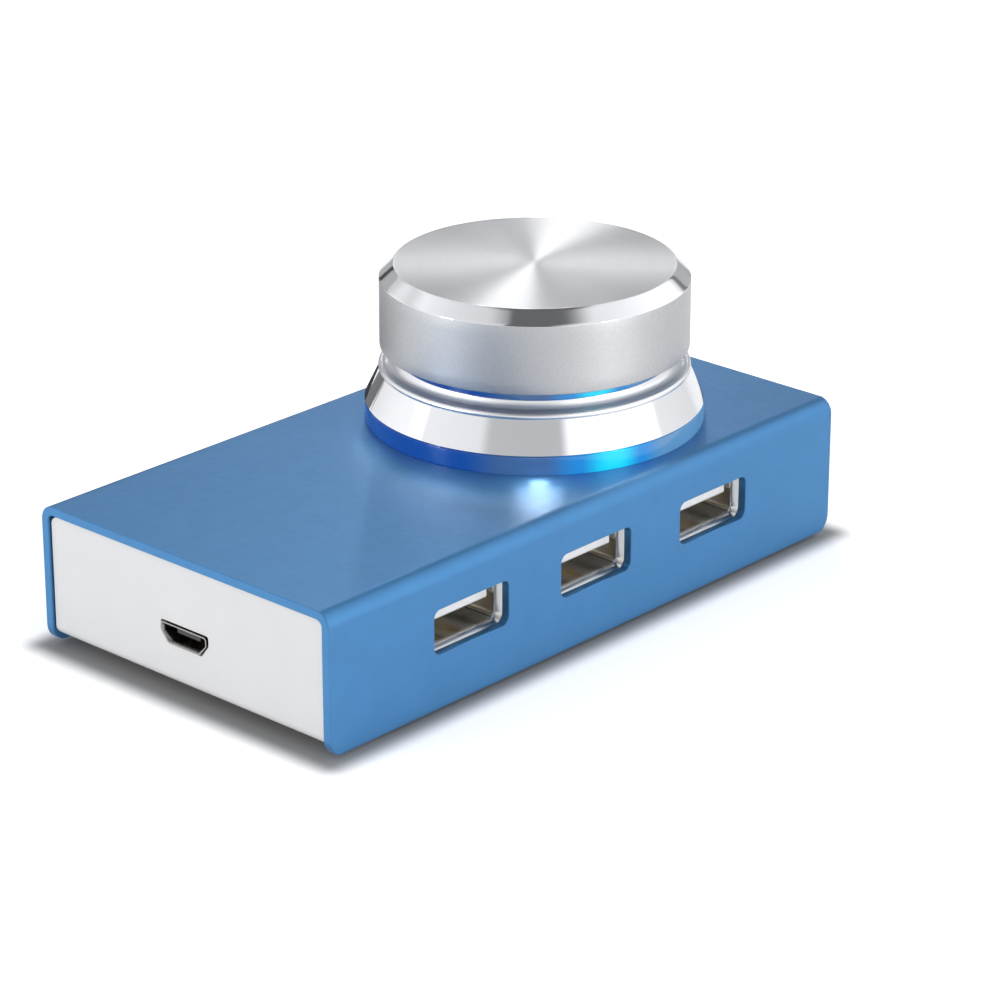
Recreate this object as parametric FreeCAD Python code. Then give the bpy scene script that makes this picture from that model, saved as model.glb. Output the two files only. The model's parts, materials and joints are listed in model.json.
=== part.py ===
"""Lit push-and-turn volume knob on a housing with three large sockets, as separate pieces.

Millimetres. X runs along the housing, from the end with the small inlet (-X) to the plain end.
The three large sockets open towards -Y, and Z is up. The origin lies on the table under the
middle of the housing, level with the undersides of the feet.
"""
import FreeCAD
import Part
import math
import os

# Clearances
overrun = 1.0             # how far a cutter passes the face that it cuts
running_fit = 0.05        # radial gap of a turning or sliding fit
slide_gap = 0.1           # flat gap between pieces that pass or face each other
panel_gap = 0.2           # gap round the end plates and the sockets, inside the cover
hole_clearance = 0.2      # radial room round a screw or a pin that only passes through

# Cover: an upturned channel with skirts that hide the tray's edge
length = 94.5
width = 50.0
cover_height = 18.7
wall = 1.2
edge_radius = 2.0
skirt_edge_radius = 0.4
skirt_corner_radius = 2.4
foot_projection = 0.5     # how far the feet stand below the skirts

# Tray: a folded sheet with an upright plate at each end
base_recess = 1.2         # from the skirts' lower edge up to the tray's underside
sheet = 1.0
bend_radius = 0.3         # inside of the folds
plate_recess = 0.4        # how far the plates lie inside the cover's ends
plate_corner_radius = 1.1
base_edge_radius = 0.9    # along the tray's long lower edges

# Lugs inside the cover that the tray is screwed to
lug_length = 8.0
lug_depth = 4.5
lug_height = 3.0
lug_end_gap = 0.5
base_screw_radius = 1.0
base_screw_reach = 2.2    # thread inside the lug
base_screw_head_radius = 1.6
base_screw_head = 0.9      # low, so that it stays clear of the table

# Feet
foot_radius = 4.0
foot_edge_radius = 0.4
foot_x_share = 0.55       # of the half length
foot_y_share = 0.76       # of the tray's half width

# Main board
board_thickness = 1.6
board_side_gap = 2.8      # from the cover's wall
board_end_gap = 0.6       # from the plate and from the lugs
standoff_height = 2.95
standoff_radius = 2.3
standoff_shank_radius = 1.7
board_screw_radius = 1.2
board_screw_reach = 1.4   # thread inside the standoff
board_screw_head_radius = 2.1
board_screw_head = 1.2
board_screw_inset = 3.0   # from the board's free edges
screw_slot_width = 0.5
screw_slot_depth = 0.4

# Large sockets
port_count = 3
port_end_distance = 24.45  # from the cover's end to the middle of the outer socket
port_opening_width = 12.5
port_opening_height = 5.1
port_sheet = 0.3
port_corner_radius = 0.7
port_depth = 14.0
port_lift = 3.5           # middle of the opening above the board
port_flare = 0.6
port_flare_length = 1.2
port_window_margin = 0.35
port_tongue_width = 11.1
port_tongue_thickness = 1.84
port_tongue_gap = 0.6     # above the tongue
port_tongue_setback = 1.1
port_block_depth = 3.6
port_contact_width = 1.0
port_contact_thickness = 0.25
port_contact_length = 6.8
port_contact_shares = (-0.315, -0.09, 0.09, 0.315)  # of the tongue's width
port_leg_length = 1.6
port_leg_width = 2.4

# Small inlet in the end plate, wide side up
inlet_top_width = 7.6
inlet_bottom_width = 5.1
inlet_height = 2.25
inlet_sheet = 0.2
inlet_side_share = 0.45   # of the height, where the sides stay upright
inlet_corner_radius = 0.35
inlet_depth = 5.2
inlet_flare = 0.2
inlet_flare_length = 0.6
inlet_projection = 0.2    # of its lip before the end plate
inlet_window_margin = 0.15
inlet_tongue_width = 4.0
inlet_tongue_thickness = 0.6
inlet_tongue_drop = 0.35  # below the shell's inner top
inlet_tongue_setback = 0.9
inlet_block_depth = 1.2
inlet_contact_count = 5
inlet_contact_spacing = 0.65
inlet_contact_width = 0.3
inlet_contact_thickness = 0.1
inlet_contact_setback = 0.4  # behind the tongue's front edge

# Parts on the main board
chip_side = 7.0
chip_thickness = 1.1
chip_lead_count = 8       # along each side
chip_lead_length = 0.9
chip_lead_width = 0.3
chip_lead_thickness = 0.15
chip_lead_share = 0.8     # of the chip's side, that the leads take up
hub_chip_shares = (-0.15, 0.40)        # of the board's half length and half width
control_chip_shares = (-0.62, 0.15)
crystal_length = 10.5
crystal_width = 4.2
crystal_height = 3.4
crystal_flange = 0.4
crystal_shares = (0.0, 0.80)
capacitor_radius = 2.5
capacitor_height = 5.4
capacitor_base = 0.6
capacitor_shares = ((-0.50, 0.66), (-0.34, 0.66))
resistor_length = 1.6
resistor_width = 0.8
resistor_height = 0.5
resistor_count = 6
resistor_spacing = 2.2
resistor_gap = 1.2        # from the control chip's leads to the first
resistor_y_share = 0.12   # of the board's half width

# Knob axis
knob_end_distance = 30.25  # from the plain end
knob_y = 0.8

# Encoder under the knob
encoder_board_length = 20.0
encoder_board_back = 9.5  # from the knob axis to the rear edge
encoder_board_gap = 0.9   # from the sockets' backs to the front edge
encoder_side = 12.0
encoder_body_height = 5.5
encoder_floor = 0.5
bushing_plate = 0.6
bushing_radius = 3.5
bushing_boss_radius = 3.9
bushing_length = 7.0
clip_sheet = 0.4
clip_leg_width = 4.0
clip_leg_reach = 0.8      # below the encoder board
shaft_radius = 3.0
shaft_length = 18.9       # above the encoder's mounting face
shaft_flat = 1.5          # from the axis to the flat
shaft_tip_chamfer = 0.5
shaft_collar_radius = 3.5
shaft_collar = 0.3
stub_radius = 2.0
stub_flat = 1.3
press_travel = 0.5
dome_radius = 1.9
dome_height = 0.85
dome_sheet = 0.12
plunger_height = 0.8
rotor_radius = 4.7
rotor_thickness = 1.1
rotor_gap = 0.5           # round the rotor
rotor_seat_radius = 3.0
rotor_seat_height = 0.5
detent_count = 20
detent_radius = 0.35
detent_leaf = 0.15
detent_leaf_length = 6.0
detent_pocket = 0.35      # depth behind the leaf
wiper_count = 3
wiper_turn = 120          # degrees round to the first
wiper_width = 0.7
wiper_thickness = 0.12
wiper_length = 2.2
pin_side = 0.64
pin_spacing = 2.54
pin_tail = 1.0            # how far a pin stands past a board
encoder_pin_count = 3
header_pin_count = 5
header_width = 2.5
header_inset = 1.7        # from the encoder board's rear edge to the pins
washer_radius = 6.0
washer_thickness = 0.5
nut_across_flats = 10.0
nut_thickness = 2.0
nut_chamfer = 0.35

# Light ring, trim ring and their lamps
ring_height = 2.4
collar_wall = 1.6
collar_edge_radius = 0.3
knob_gap = 0.7            # from the light collar's top up to the knob's lower edge
trim_cone_inset = 2.0     # how much the cone draws in
trim_cone_height = 4.35
trim_land = 2.5           # from the cone's top edge in to the light collar
trim_foot_chamfer = 0.25
bead_size = 0.4
bead_bulge_share = 0.45   # of the bead's size
cove_top_width = 0.25
cove_sag = 0.4
cove_rise = 0.95          # from the bead up to the neck
trim_screw_count = 3
trim_screw_radius = 0.8
trim_screw_reach = 2.4
trim_screw_head_radius = 1.5
trim_screw_head = 1.0
trim_screw_inset = 2.6    # from the ring's edge
lamp_board_thickness = 1.0
lamp_board_bore_radius = 7.2
lamp_count = 6
lamp_length = 3.2
lamp_width = 1.4
lamp_height = 1.4
lamp_pin_count = 4
lamp_pin_reach = 9.0      # from the knob axis

# Knob
knob_lift = 10.05         # lower edge above the cover
shaft_tip_room = 0.8      # above the shaft's tip, inside the cap
knob_chamfer_width = 1.85
knob_chamfer_height = 1.75
knob_wall = 2.0
knob_top = 2.4
knob_edge_chamfer = 0.2
hub_radius = 7.5
hub_drop = 3.4            # how far the hub hangs below the knob's lower edge
insert_radius = 5.2
insert_rib_count = 6
insert_rib_width = 1.4
insert_rib_height = 0.5

# Levels, from the table up
cover_bottom = foot_projection
cover_top = cover_bottom + cover_height
ceiling = cover_top - wall
base_bottom = cover_bottom + base_recess
base_top = base_bottom + sheet
board_bottom = base_top + standoff_height
board_top = board_bottom + board_thickness
port_middle = board_top + port_lift
clip_bottom = ceiling - clip_sheet
plate_bottom = clip_bottom - bushing_plate
encoder_bottom = plate_bottom - encoder_body_height
encoder_board_bottom = encoder_bottom - board_thickness
dome_bottom = encoder_bottom + encoder_floor
plunger_bottom = dome_bottom + dome_height + slide_gap
plunger_top = plunger_bottom + plunger_height
stub_bottom = plunger_top + slide_gap
collar_top = plate_bottom - slide_gap
collar_bottom = collar_top - shaft_collar
rotor_top = collar_bottom - press_travel - slide_gap
rotor_bottom = rotor_top - rotor_thickness
rotor_seat = rotor_bottom - slide_gap
rotor_floor = rotor_seat - rotor_seat_height
bushing_top = ceiling + bushing_length
shaft_top = ceiling + shaft_length
ring_top = cover_top + ring_height
cone_top = ring_top + trim_cone_height
neck_top = cone_top + 2 * bead_size + cove_rise
knob_bottom = cover_top + knob_lift
knob_summit = shaft_top + shaft_tip_room + knob_top
light_top = knob_bottom - knob_gap
hub_bottom = knob_bottom - hub_drop
lamp_board_top = cover_top + lamp_board_thickness

# Places along and across the housing
half_length = length / 2
half_width = width / 2
inner_half_width = half_width - wall
plate_face = half_length - plate_recess
plate_inner = plate_face - sheet
tray_half_width = inner_half_width - panel_gap
lug_x = plate_inner - lug_end_gap - lug_length / 2
lug_inner_end = lug_x - lug_length / 2
lug_face = inner_half_width - lug_depth
lug_screw_y = tray_half_width - base_edge_radius - base_screw_head_radius
board_left = -(plate_inner - board_end_gap)
board_right = lug_inner_end - board_end_gap
board_half_width = inner_half_width - board_side_gap
board_screw_x = board_right - board_screw_inset
board_screw_y = lug_face - board_end_gap - board_screw_inset + board_screw_radius
board_half_length = (board_right - board_left) / 2
board_middle = (board_right + board_left) / 2
port_spacing = 2 * (half_length - port_end_distance) / (port_count - 1)
port_mouth = -(inner_half_width - panel_gap)
port_back = port_mouth + port_depth
inlet_mouth = -(plate_face + inlet_projection)
inlet_back = inlet_mouth + inlet_depth

# Round the knob axis: the ring reaches the edge of the cover's flat top
knob_x = half_length - knob_end_distance
ring_radius = half_width - edge_radius - knob_y
trim_top_radius = ring_radius - trim_cone_inset
knob_radius = trim_top_radius
collar_radius = trim_top_radius - trim_land
guide_bore_radius = collar_radius - collar_wall
encoder_board_front = port_back + encoder_board_gap
encoder_board_rear = knob_y + encoder_board_back
header_y = encoder_board_rear - header_inset


def point(x, y, z):
    return FreeCAD.Vector(x, y, z)


def across(x):
    """Places an outline's (y, z) on the plane at x."""
    return lambda u, v: point(x, u, v)


def along(y):
    """Places an outline's (x, z) on the plane at y."""
    return lambda u, v: point(u, y, v)


def level(z):
    """Places an outline's (x, y) on the plane at z."""
    return lambda u, v: point(u, v, z)


def toward(a, b):
    """Unit direction from a to b, and the distance."""
    reach = math.hypot(b[0] - a[0], b[1] - a[1])
    return (b[0] - a[0]) / reach, (b[1] - a[1]) / reach


def outline(corners, place):
    """Closed wire through corners (u, v, radius), with an arc at each corner that has a radius."""
    starts, middles, ends = [], [], []
    count = len(corners)
    for i, (u, v, radius) in enumerate(corners):
        back = toward((u, v), corners[i - 1])
        ahead = toward((u, v), corners[(i + 1) % count])
        half_angle = math.acos(back[0] * ahead[0] + back[1] * ahead[1]) / 2
        run = radius / math.tan(half_angle)
        inward = toward((0, 0), (back[0] + ahead[0], back[1] + ahead[1]))
        depth = radius / math.sin(half_angle) - radius
        starts.append(place(u + back[0] * run, v + back[1] * run))
        middles.append(place(u + inward[0] * depth, v + inward[1] * depth))
        ends.append(place(u + ahead[0] * run, v + ahead[1] * run))
    edges = []
    for i in range(count):
        if corners[i][2] > 0:
            edges.append(Part.Arc(starts[i], middles[i], ends[i]).toShape())
        edges.append(Part.makeLine(ends[i], starts[(i + 1) % count]))
    return Part.Wire(edges)


def prism(corners, place, direction):
    return Part.Face(outline(corners, place)).extrude(direction)


def rectangle(u0, u1, v0, v1, radius=0.0):
    return [(u0, v0, radius), (u1, v0, radius), (u1, v1, radius), (u0, v1, radius)]


def block(x0, x1, y0, y1, z0, z1):
    return Part.makeBox(x1 - x0, y1 - y0, z1 - z0, point(x0, y0, z0))


def rod(radius, z0, z1, x=knob_x, y=knob_y):
    return Part.makeCylinder(radius, z1 - z0, point(x, y, z0))


def tube(inner, outer, z0, z1, x=knob_x, y=knob_y):
    return rod(outer, z0, z1, x, y).cut(rod(inner, z0 - overrun, z1 + overrun, x, y))


def turned(wire):
    """Revolves a wire that lies in the upright plane through the knob axis."""
    return Part.Face(wire).revolve(point(knob_x, knob_y, 0), point(0, 0, 1), 360)


def turned_outline(corners):
    """Revolves corners (radius, height, rounding) about the knob axis."""
    return turned(outline([(knob_x + r, z, rounding) for r, z, rounding in corners], along(knob_y)))


def merged(shapes):
    return shapes[0].multiFuse(shapes[1:]).removeSplitter()


def without(shape, cutters):
    return shape.cut(Part.makeCompound(cutters))


def corners_of(x, y):
    """The four places mirrored from (x, y) about the middle of the housing."""
    return [(sx * x, sy * y) for sx in (-1, 1) for sy in (-1, 1)]


def circle_places(count, radius, turn):
    """Places on a circle about the knob axis, with the angle of each in degrees."""
    places = []
    for i in range(count):
        angle = turn + 360 * i / count
        x = knob_x + radius * math.cos(math.radians(angle))
        y = knob_y + radius * math.sin(math.radians(angle))
        places.append((x, y, angle))
    return places


def port_places():
    return [port_spacing * (i - (port_count - 1) / 2) for i in range(port_count)]


def slotted_screw(x, y, seat, reach, radius, head_radius, head, up):
    """Screw with a domed, slotted head. Its head sits on the seat level, above it if up is 1."""
    end = seat - up * reach
    crown = seat + up * head
    shank = rod(radius, min(seat, end), max(seat, end), x, y)
    cap = rod(head_radius, min(seat, crown), max(seat, crown), x, y)
    rim = [e for e in cap.Edges if abs(e.BoundBox.ZMin - crown) + abs(e.BoundBox.ZMax - crown) < head / 2]
    cap = cap.makeFillet(head / 2, rim)
    slot_floor = crown - up * screw_slot_depth
    slot = block(x - head_radius, x + head_radius, y - screw_slot_width / 2, y + screw_slot_width / 2,
                 min(slot_floor, crown), max(slot_floor, crown))
    return merged([shank, cap]).cut(slot)


def slotted_through(x, y, z0, z1, length_x, length_y):
    """Slot cutter with round ends, centred on (x, y)."""
    radius = min(length_x, length_y) / 2
    spread_x, spread_y = length_x / 2 - radius, length_y / 2 - radius
    ends = [rod(radius, z0, z1, x + s * spread_x, y + s * spread_y) for s in (-1, 1)]
    if spread_x > spread_y:
        middle = block(x - spread_x, x + spread_x, y - radius, y + radius, z0, z1)
    else:
        middle = block(x - radius, x + radius, y - spread_y, y + spread_y, z0, z1)
    return merged(ends + [middle])


# Housing

def housing_cover():
    inner_radius = edge_radius - wall
    bottom_round = skirt_edge_radius
    section = [
        (-half_width, cover_bottom, bottom_round), (-half_width, cover_top, edge_radius),
        (half_width, cover_top, edge_radius), (half_width, cover_bottom, bottom_round),
        (inner_half_width, cover_bottom, bottom_round / 2), (inner_half_width, ceiling, inner_radius),
        (-inner_half_width, ceiling, inner_radius), (-inner_half_width, cover_bottom, bottom_round / 2)]
    channel = prism(section, across(-half_length), point(length, 0, 0))
    side_view = [
        (-half_length, cover_bottom, skirt_corner_radius), (half_length, cover_bottom, skirt_corner_radius),
        (half_length, cover_top + overrun, 0), (-half_length, cover_top + overrun, 0)]
    channel = channel.common(prism(side_view, along(-width), point(0, 2 * width, 0)))
    cover = merged([channel] + [lug(sx, sy) for sx in (-1, 1) for sy in (-1, 1)])
    return without(cover, port_windows() + cover_holes())


def lug(side_x, side_y):
    """Stump of an inner rail: flat below, sloping back to the wall above."""
    x0 = side_x * lug_x - lug_length / 2
    root = inner_half_width + wall / 2
    section = [(side_y * lug_face, base_top, 0), (side_y * root, base_top, 0),
               (side_y * root, base_top + lug_height + lug_depth / 2, 0),
               (side_y * lug_face, base_top + lug_height, 0)]
    stump = prism(section, across(x0), point(lug_length, 0, 0))
    hole_top = base_top + base_screw_reach + slide_gap
    return stump.cut(rod(base_screw_radius + running_fit, base_top - overrun, hole_top,
                         side_x * lug_x, side_y * lug_screw_y))


def port_windows():
    """Cutters for the openings of the large sockets, through the wall on the -Y side."""
    half_w = port_opening_width / 2 + port_window_margin
    half_h = port_opening_height / 2 + port_window_margin
    return [prism(rectangle(x - half_w, x + half_w, port_middle - half_h, port_middle + half_h,
                            port_corner_radius + port_window_margin),
                  along(-half_width - overrun), point(0, wall + 2 * overrun, 0)) for x in port_places()]


def cover_holes():
    """Cutters through the cover's top for the bushing, the lamp pins and the trim screws."""
    low, high = ceiling - overrun, cover_top + overrun
    holes = [rod(bushing_radius + hole_clearance, low, high)]
    holes += [rod(trim_screw_radius + hole_clearance, low, high, x, y) for x, y, _ in trim_screw_places()]
    slot_length = (lamp_pin_count - 1) * pin_spacing + 3 * pin_side
    holes.append(slotted_through(knob_x - lamp_pin_reach, knob_y, low, high, 3 * pin_side, slot_length))
    return holes


def chassis_tray():
    top = ceiling - panel_gap
    outer = bend_radius + sheet
    section = [
        (-plate_face, top, 0), (-plate_face, base_bottom, outer), (plate_face, base_bottom, outer),
        (plate_face, top, 0), (plate_inner, top, 0), (plate_inner, base_top, bend_radius),
        (-plate_inner, base_top, bend_radius), (-plate_inner, top, 0)]
    tray = prism(section, along(-tray_half_width), point(0, 2 * tray_half_width, 0))
    end_view = [
        (-tray_half_width, base_bottom, base_edge_radius), (tray_half_width, base_bottom, base_edge_radius),
        (tray_half_width, top, plate_corner_radius), (-tray_half_width, top, plate_corner_radius)]
    tray = tray.common(prism(end_view, across(-length), point(2 * length, 0, 0)))
    low, high = base_bottom - overrun, base_top + overrun
    holes = [rod(base_screw_radius + hole_clearance, low, high, x, y)
             for x, y in corners_of(lug_x, lug_screw_y)]
    holes += [rod(standoff_shank_radius + running_fit, low, high, x, y)
              for x, y in corners_of(board_screw_x, board_screw_y)]
    window = Part.Face(inlet_outline(inlet_flare + inlet_window_margin, -plate_face - overrun))
    holes.append(window.extrude(point(sheet + 2 * overrun, 0, 0)))
    return without(tray, holes)


def base_screws():
    return [slotted_screw(x, y, base_bottom, sheet + base_screw_reach, base_screw_radius,
                          base_screw_head_radius, base_screw_head, -1)
            for x, y in corners_of(lug_x, lug_screw_y)]


def rubber_feet():
    x, y = foot_x_share * half_length, foot_y_share * tray_half_width
    feet = []
    for foot_x, foot_y in corners_of(x, y):
        foot = rod(foot_radius, 0, base_bottom, foot_x, foot_y)
        rim = [e for e in foot.Edges if e.BoundBox.ZMax < base_bottom / 2]
        feet.append(foot.makeFillet(foot_edge_radius, rim))
    return feet


# Main board and what stands on it

def pcb_standoffs():
    standoffs = []
    for x, y in corners_of(board_screw_x, board_screw_y):
        body = merged([rod(standoff_radius, base_top, board_bottom, x, y),
                       rod(standoff_shank_radius, base_bottom, base_top, x, y)])
        thread = rod(board_screw_radius + running_fit, board_bottom - board_screw_reach - slide_gap,
                     board_bottom + overrun, x, y)
        standoffs.append(body.cut(thread))
    return standoffs


def board_screws():
    return [slotted_screw(x, y, board_top, board_thickness + board_screw_reach, board_screw_radius,
                          board_screw_head_radius, board_screw_head, 1)
            for x, y in corners_of(board_screw_x, board_screw_y)]


def main_board():
    notch_x = -(lug_inner_end - board_end_gap)
    notch_y = lug_face - board_end_gap
    corners = [
        (board_left, -notch_y, 0), (notch_x, -notch_y, 0), (notch_x, -board_half_width, 0),
        (board_right, -board_half_width, 0), (board_right, board_half_width, 0),
        (notch_x, board_half_width, 0), (notch_x, notch_y, 0), (board_left, notch_y, 0)]
    board = prism(corners, level(board_bottom), point(0, 0, board_thickness))
    low, high = board_bottom - overrun, board_top + overrun
    holes = [rod(board_screw_radius + hole_clearance, low, high, x, y)
             for x, y in corners_of(board_screw_x, board_screw_y)]
    for x in port_places():
        holes += [leg_place(x, side, hole_clearance, low, high) for side in (-1, 1)]
    holes += [block(x - pin_side / 2, x + pin_side / 2, y - pin_side / 2, y + pin_side / 2, low, high)
              for x, y in header_places()]
    return without(board, holes)


def leg_place(x, side, room, low, high):
    """Block where a socket's leg passes the board, grown by the room round it."""
    outer = port_opening_width / 2 + port_sheet
    middle = port_mouth + port_depth / 2
    x0, x1 = sorted((x + side * (outer - port_sheet - room), x + side * (outer + room)))
    return block(x0, x1, middle - port_leg_width / 2 - room, middle + port_leg_width / 2 + room, low, high)


def on_board(shares):
    """Place on the main board, from shares of its half length and half width."""
    return board_middle + shares[0] * board_half_length, shares[1] * board_half_width


def chip(shares):
    x, y = on_board(shares)
    body = Part.makeBox(chip_side, chip_side, chip_thickness,
                        point(x - chip_side / 2, y - chip_side / 2, board_top + chip_lead_thickness))
    top = body.BoundBox.ZMax
    rim = [e for e in body.Edges if e.BoundBox.ZMin > top - chip_thickness / 2]
    return body.makeChamfer(chip_lead_thickness, rim)


def hub_chip():
    return chip(hub_chip_shares)


def control_chip():
    return chip(control_chip_shares)


def chip_leads():
    """Gull-wing leads on all four sides of both chips."""
    leads = []
    knee = chip_lead_length / 2
    rise = chip_thickness / 2
    metal = chip_lead_thickness
    foot = [(0, 0, 0), (knee, 0, 0), (knee, rise, 0), (chip_lead_length, rise, 0),
            (chip_lead_length, rise + metal, 0), (knee - metal, rise + metal, 0),
            (knee - metal, metal, 0), (0, metal, 0)]
    step = chip_side * chip_lead_share / (chip_lead_count - 1)
    for shares in (hub_chip_shares, control_chip_shares):
        x, y = on_board(shares)
        start = x - chip_side / 2 - chip_lead_length
        for i in range(chip_lead_count):
            offset = step * (i - (chip_lead_count - 1) / 2) - chip_lead_width / 2
            corners = [(start + u, board_top + v, radius) for u, v, radius in foot]
            lead = prism(corners, along(y + offset), point(0, chip_lead_width, 0))
            for turn in range(4):
                copy = lead.copy()
                copy.rotate(point(x, y, 0), point(0, 0, 1), 90 * turn)
                leads.append(copy)
    return leads


def crystal_can():
    x, y = on_board(crystal_shares)
    half_l, half_w = crystal_length / 2, crystal_width / 2
    flange = prism(rectangle(x - half_l - crystal_flange, x + half_l + crystal_flange,
                             y - half_w - crystal_flange, y + half_w + crystal_flange, half_w),
                   level(board_top), point(0, 0, crystal_flange))
    can = prism(rectangle(x - half_l, x + half_l, y - half_w, y + half_w, half_w - crystal_flange / 2),
                level(board_top), point(0, 0, crystal_height))
    rim = [e for e in can.Edges if e.BoundBox.ZMin > board_top + crystal_height / 2]
    return merged([flange, can.makeFillet(crystal_flange, rim)])


def capacitors():
    cans = []
    for shares in capacitor_shares:
        x, y = on_board(shares)
        half = capacitor_radius
        foot = prism([(x - half, y - half, half / 2), (x + half, y - half, half / 2),
                      (x + half, y + half, 0), (x - half, y + half, 0)],
                     level(board_top), point(0, 0, capacitor_base))
        body = rod(capacitor_radius, board_top + capacitor_base, board_top + capacitor_height, x, y)
        waist = tube(capacitor_radius - capacitor_base / 3, capacitor_radius + overrun,
                     board_top + 2 * capacitor_base, board_top + 3 * capacitor_base, x, y)
        cans.append(merged([foot, body.cut(waist)]))
    return cans


def chip_resistors():
    """Row beside the control chip."""
    first = on_board(control_chip_shares)[0] + chip_side / 2 + chip_lead_length + resistor_gap
    y = resistor_y_share * board_half_width
    resistors = []
    for i in range(resistor_count):
        x0 = first + i * resistor_spacing
        resistors.append(block(x0, x0 + resistor_width, y - resistor_length / 2, y + resistor_length / 2,
                               board_top, board_top + resistor_height))
    return resistors


# Large sockets

def port_outline(x, grow, y):
    """Outline of the opening at depth y, grown on all sides."""
    half_w = port_opening_width / 2 + grow
    half_h = port_opening_height / 2 + grow
    return outline(rectangle(x - half_w, x + half_w, port_middle - half_h, port_middle + half_h,
                             port_corner_radius + grow), along(y))


def port_shell(x):
    """Folded sheet shell: flared lips at the mouth, straight walls, and a leg on each side."""
    shoulder = port_mouth + port_flare_length
    straight = port_back - shoulder
    outside = [Part.makeLoft([port_outline(x, port_flare + port_sheet, port_mouth),
                              port_outline(x, port_sheet, shoulder)], True, True),
               Part.Face(port_outline(x, port_sheet, shoulder)).extrude(point(0, straight, 0))]
    inside = [Part.makeLoft([port_outline(x, port_flare, port_mouth),
                             port_outline(x, 0, shoulder)], True, True),
              Part.Face(port_outline(x, 0, shoulder)).extrude(point(0, straight - port_sheet, 0))]
    bottom = port_middle - port_opening_height / 2 - port_sheet
    lower_cut = block(x - port_opening_width / 2 - running_fit, x + port_opening_width / 2 + running_fit,
                      port_back - port_block_depth - running_fit, port_back + overrun,
                      bottom - overrun, bottom + port_sheet + port_corner_radius)
    legs = [leg_place(x, side, 0, board_top - port_leg_length, port_middle) for side in (-1, 1)]
    shell = merged(outside + legs)
    return without(shell, inside + [lower_cut])


def port_tongue(x):
    """Moulded insert: a rear block that stands on the board, and the tongue before it."""
    half_w = port_opening_width / 2 - running_fit
    roof = port_middle + port_opening_height / 2
    front = port_back - port_block_depth
    rear = port_back - port_sheet - running_fit
    back = block(x - half_w, x + half_w, front, rear, board_top, roof - running_fit)
    sides = [e for e in back.Edges if e.BoundBox.XLength < running_fit and e.BoundBox.ZLength < running_fit
             and e.BoundBox.ZMin > port_middle]
    back = back.makeFillet(port_corner_radius, sides)
    top = roof - port_tongue_gap
    half_t = port_tongue_width / 2
    tongue = block(x - half_t, x + half_t, port_mouth + port_tongue_setback, front + overrun,
                   top - port_tongue_thickness, top)
    nose = [e for e in tongue.Edges if e.BoundBox.YMax < port_mouth + port_tongue_setback + running_fit]
    tongue = tongue.makeChamfer(port_tongue_thickness / 5, nose)
    return merged([back, tongue])


def port_contacts():
    """Spring blades under each tongue."""
    blades = []
    top = port_middle + port_opening_height / 2 - port_tongue_gap - port_tongue_thickness
    front = port_back - port_block_depth
    for x in port_places():
        for share in port_contact_shares:
            middle = x + share * port_tongue_width
            blades.append(block(middle - port_contact_width / 2, middle + port_contact_width / 2,
                                front - port_contact_length, front, top - port_contact_thickness, top))
    return blades


# Small inlet

def inlet_outline(grow, x):
    """Outline of the inlet, wide side up: upright upper sides, then drawn in to the narrow bottom."""
    top_half = inlet_top_width / 2 + grow
    bottom_half = inlet_bottom_width / 2 + grow
    low = board_top - grow
    high = board_top + inlet_height + grow
    knee = high - inlet_side_share * (high - low)
    corners = [(-bottom_half, low), (bottom_half, low), (top_half, knee), (top_half, high),
               (-top_half, high), (-top_half, knee)]
    return outline([(u, v, inlet_corner_radius) for u, v in corners], across(x))


def inlet_shell():
    shoulder = inlet_mouth + inlet_flare_length
    straight = point(inlet_back - shoulder, 0, 0)
    outside = [Part.makeLoft([inlet_outline(inlet_flare, inlet_mouth),
                              inlet_outline(0, shoulder)], True, True),
               Part.Face(inlet_outline(0, shoulder)).extrude(straight)]
    inside = [Part.makeLoft([inlet_outline(inlet_flare - inlet_sheet, inlet_mouth),
                             inlet_outline(-inlet_sheet, shoulder)], True, True),
              Part.Face(inlet_outline(-inlet_sheet, shoulder)).extrude(straight)]
    return without(merged(outside), inside)


def inlet_tongue():
    """Moulded insert: a rear plug in the shell, and the thin tongue before it."""
    plug = Part.Face(inlet_outline(-inlet_sheet - running_fit, inlet_back - inlet_block_depth))
    plug = plug.extrude(point(inlet_block_depth, 0, 0))
    top = board_top + inlet_height - inlet_sheet - inlet_tongue_drop
    tongue = block(inlet_mouth + inlet_tongue_setback, inlet_back - inlet_block_depth / 2,
                   -inlet_tongue_width / 2, inlet_tongue_width / 2, top - inlet_tongue_thickness, top)
    return merged([plug, tongue])


def inlet_contacts():
    """Leaf contacts along the underside of the inlet's tongue."""
    top = board_top + inlet_height - inlet_sheet - inlet_tongue_drop - inlet_tongue_thickness
    front = inlet_mouth + inlet_tongue_setback + inlet_contact_setback
    blades = []
    for i in range(inlet_contact_count):
        y = inlet_contact_spacing * (i - (inlet_contact_count - 1) / 2)
        blades.append(block(front, inlet_back - inlet_block_depth, y - inlet_contact_width / 2,
                            y + inlet_contact_width / 2, top - inlet_contact_thickness, top))
    return blades


# Encoder

def pin_row(count, x, y, direction):
    """Places of a straight row of pins, centred on (x, y)."""
    return [(x + direction[0] * pin_spacing * (i - (count - 1) / 2),
             y + direction[1] * pin_spacing * (i - (count - 1) / 2)) for i in range(count)]


def header_places():
    return pin_row(header_pin_count, knob_x, header_y, (1, 0))


def lamp_pin_places():
    return pin_row(lamp_pin_count, knob_x - lamp_pin_reach, knob_y, (0, 1))


def encoder_pin_places():
    reach = encoder_side / 2 - pin_side
    return (pin_row(encoder_pin_count, knob_x, knob_y - reach, (1, 0))
            + [(knob_x + s * pin_spacing, knob_y + reach) for s in (-1, 1)])


def pins(places, low, high):
    half = pin_side / 2
    return [block(x - half, x + half, y - half, y + half, low, high) for x, y in places]


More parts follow.
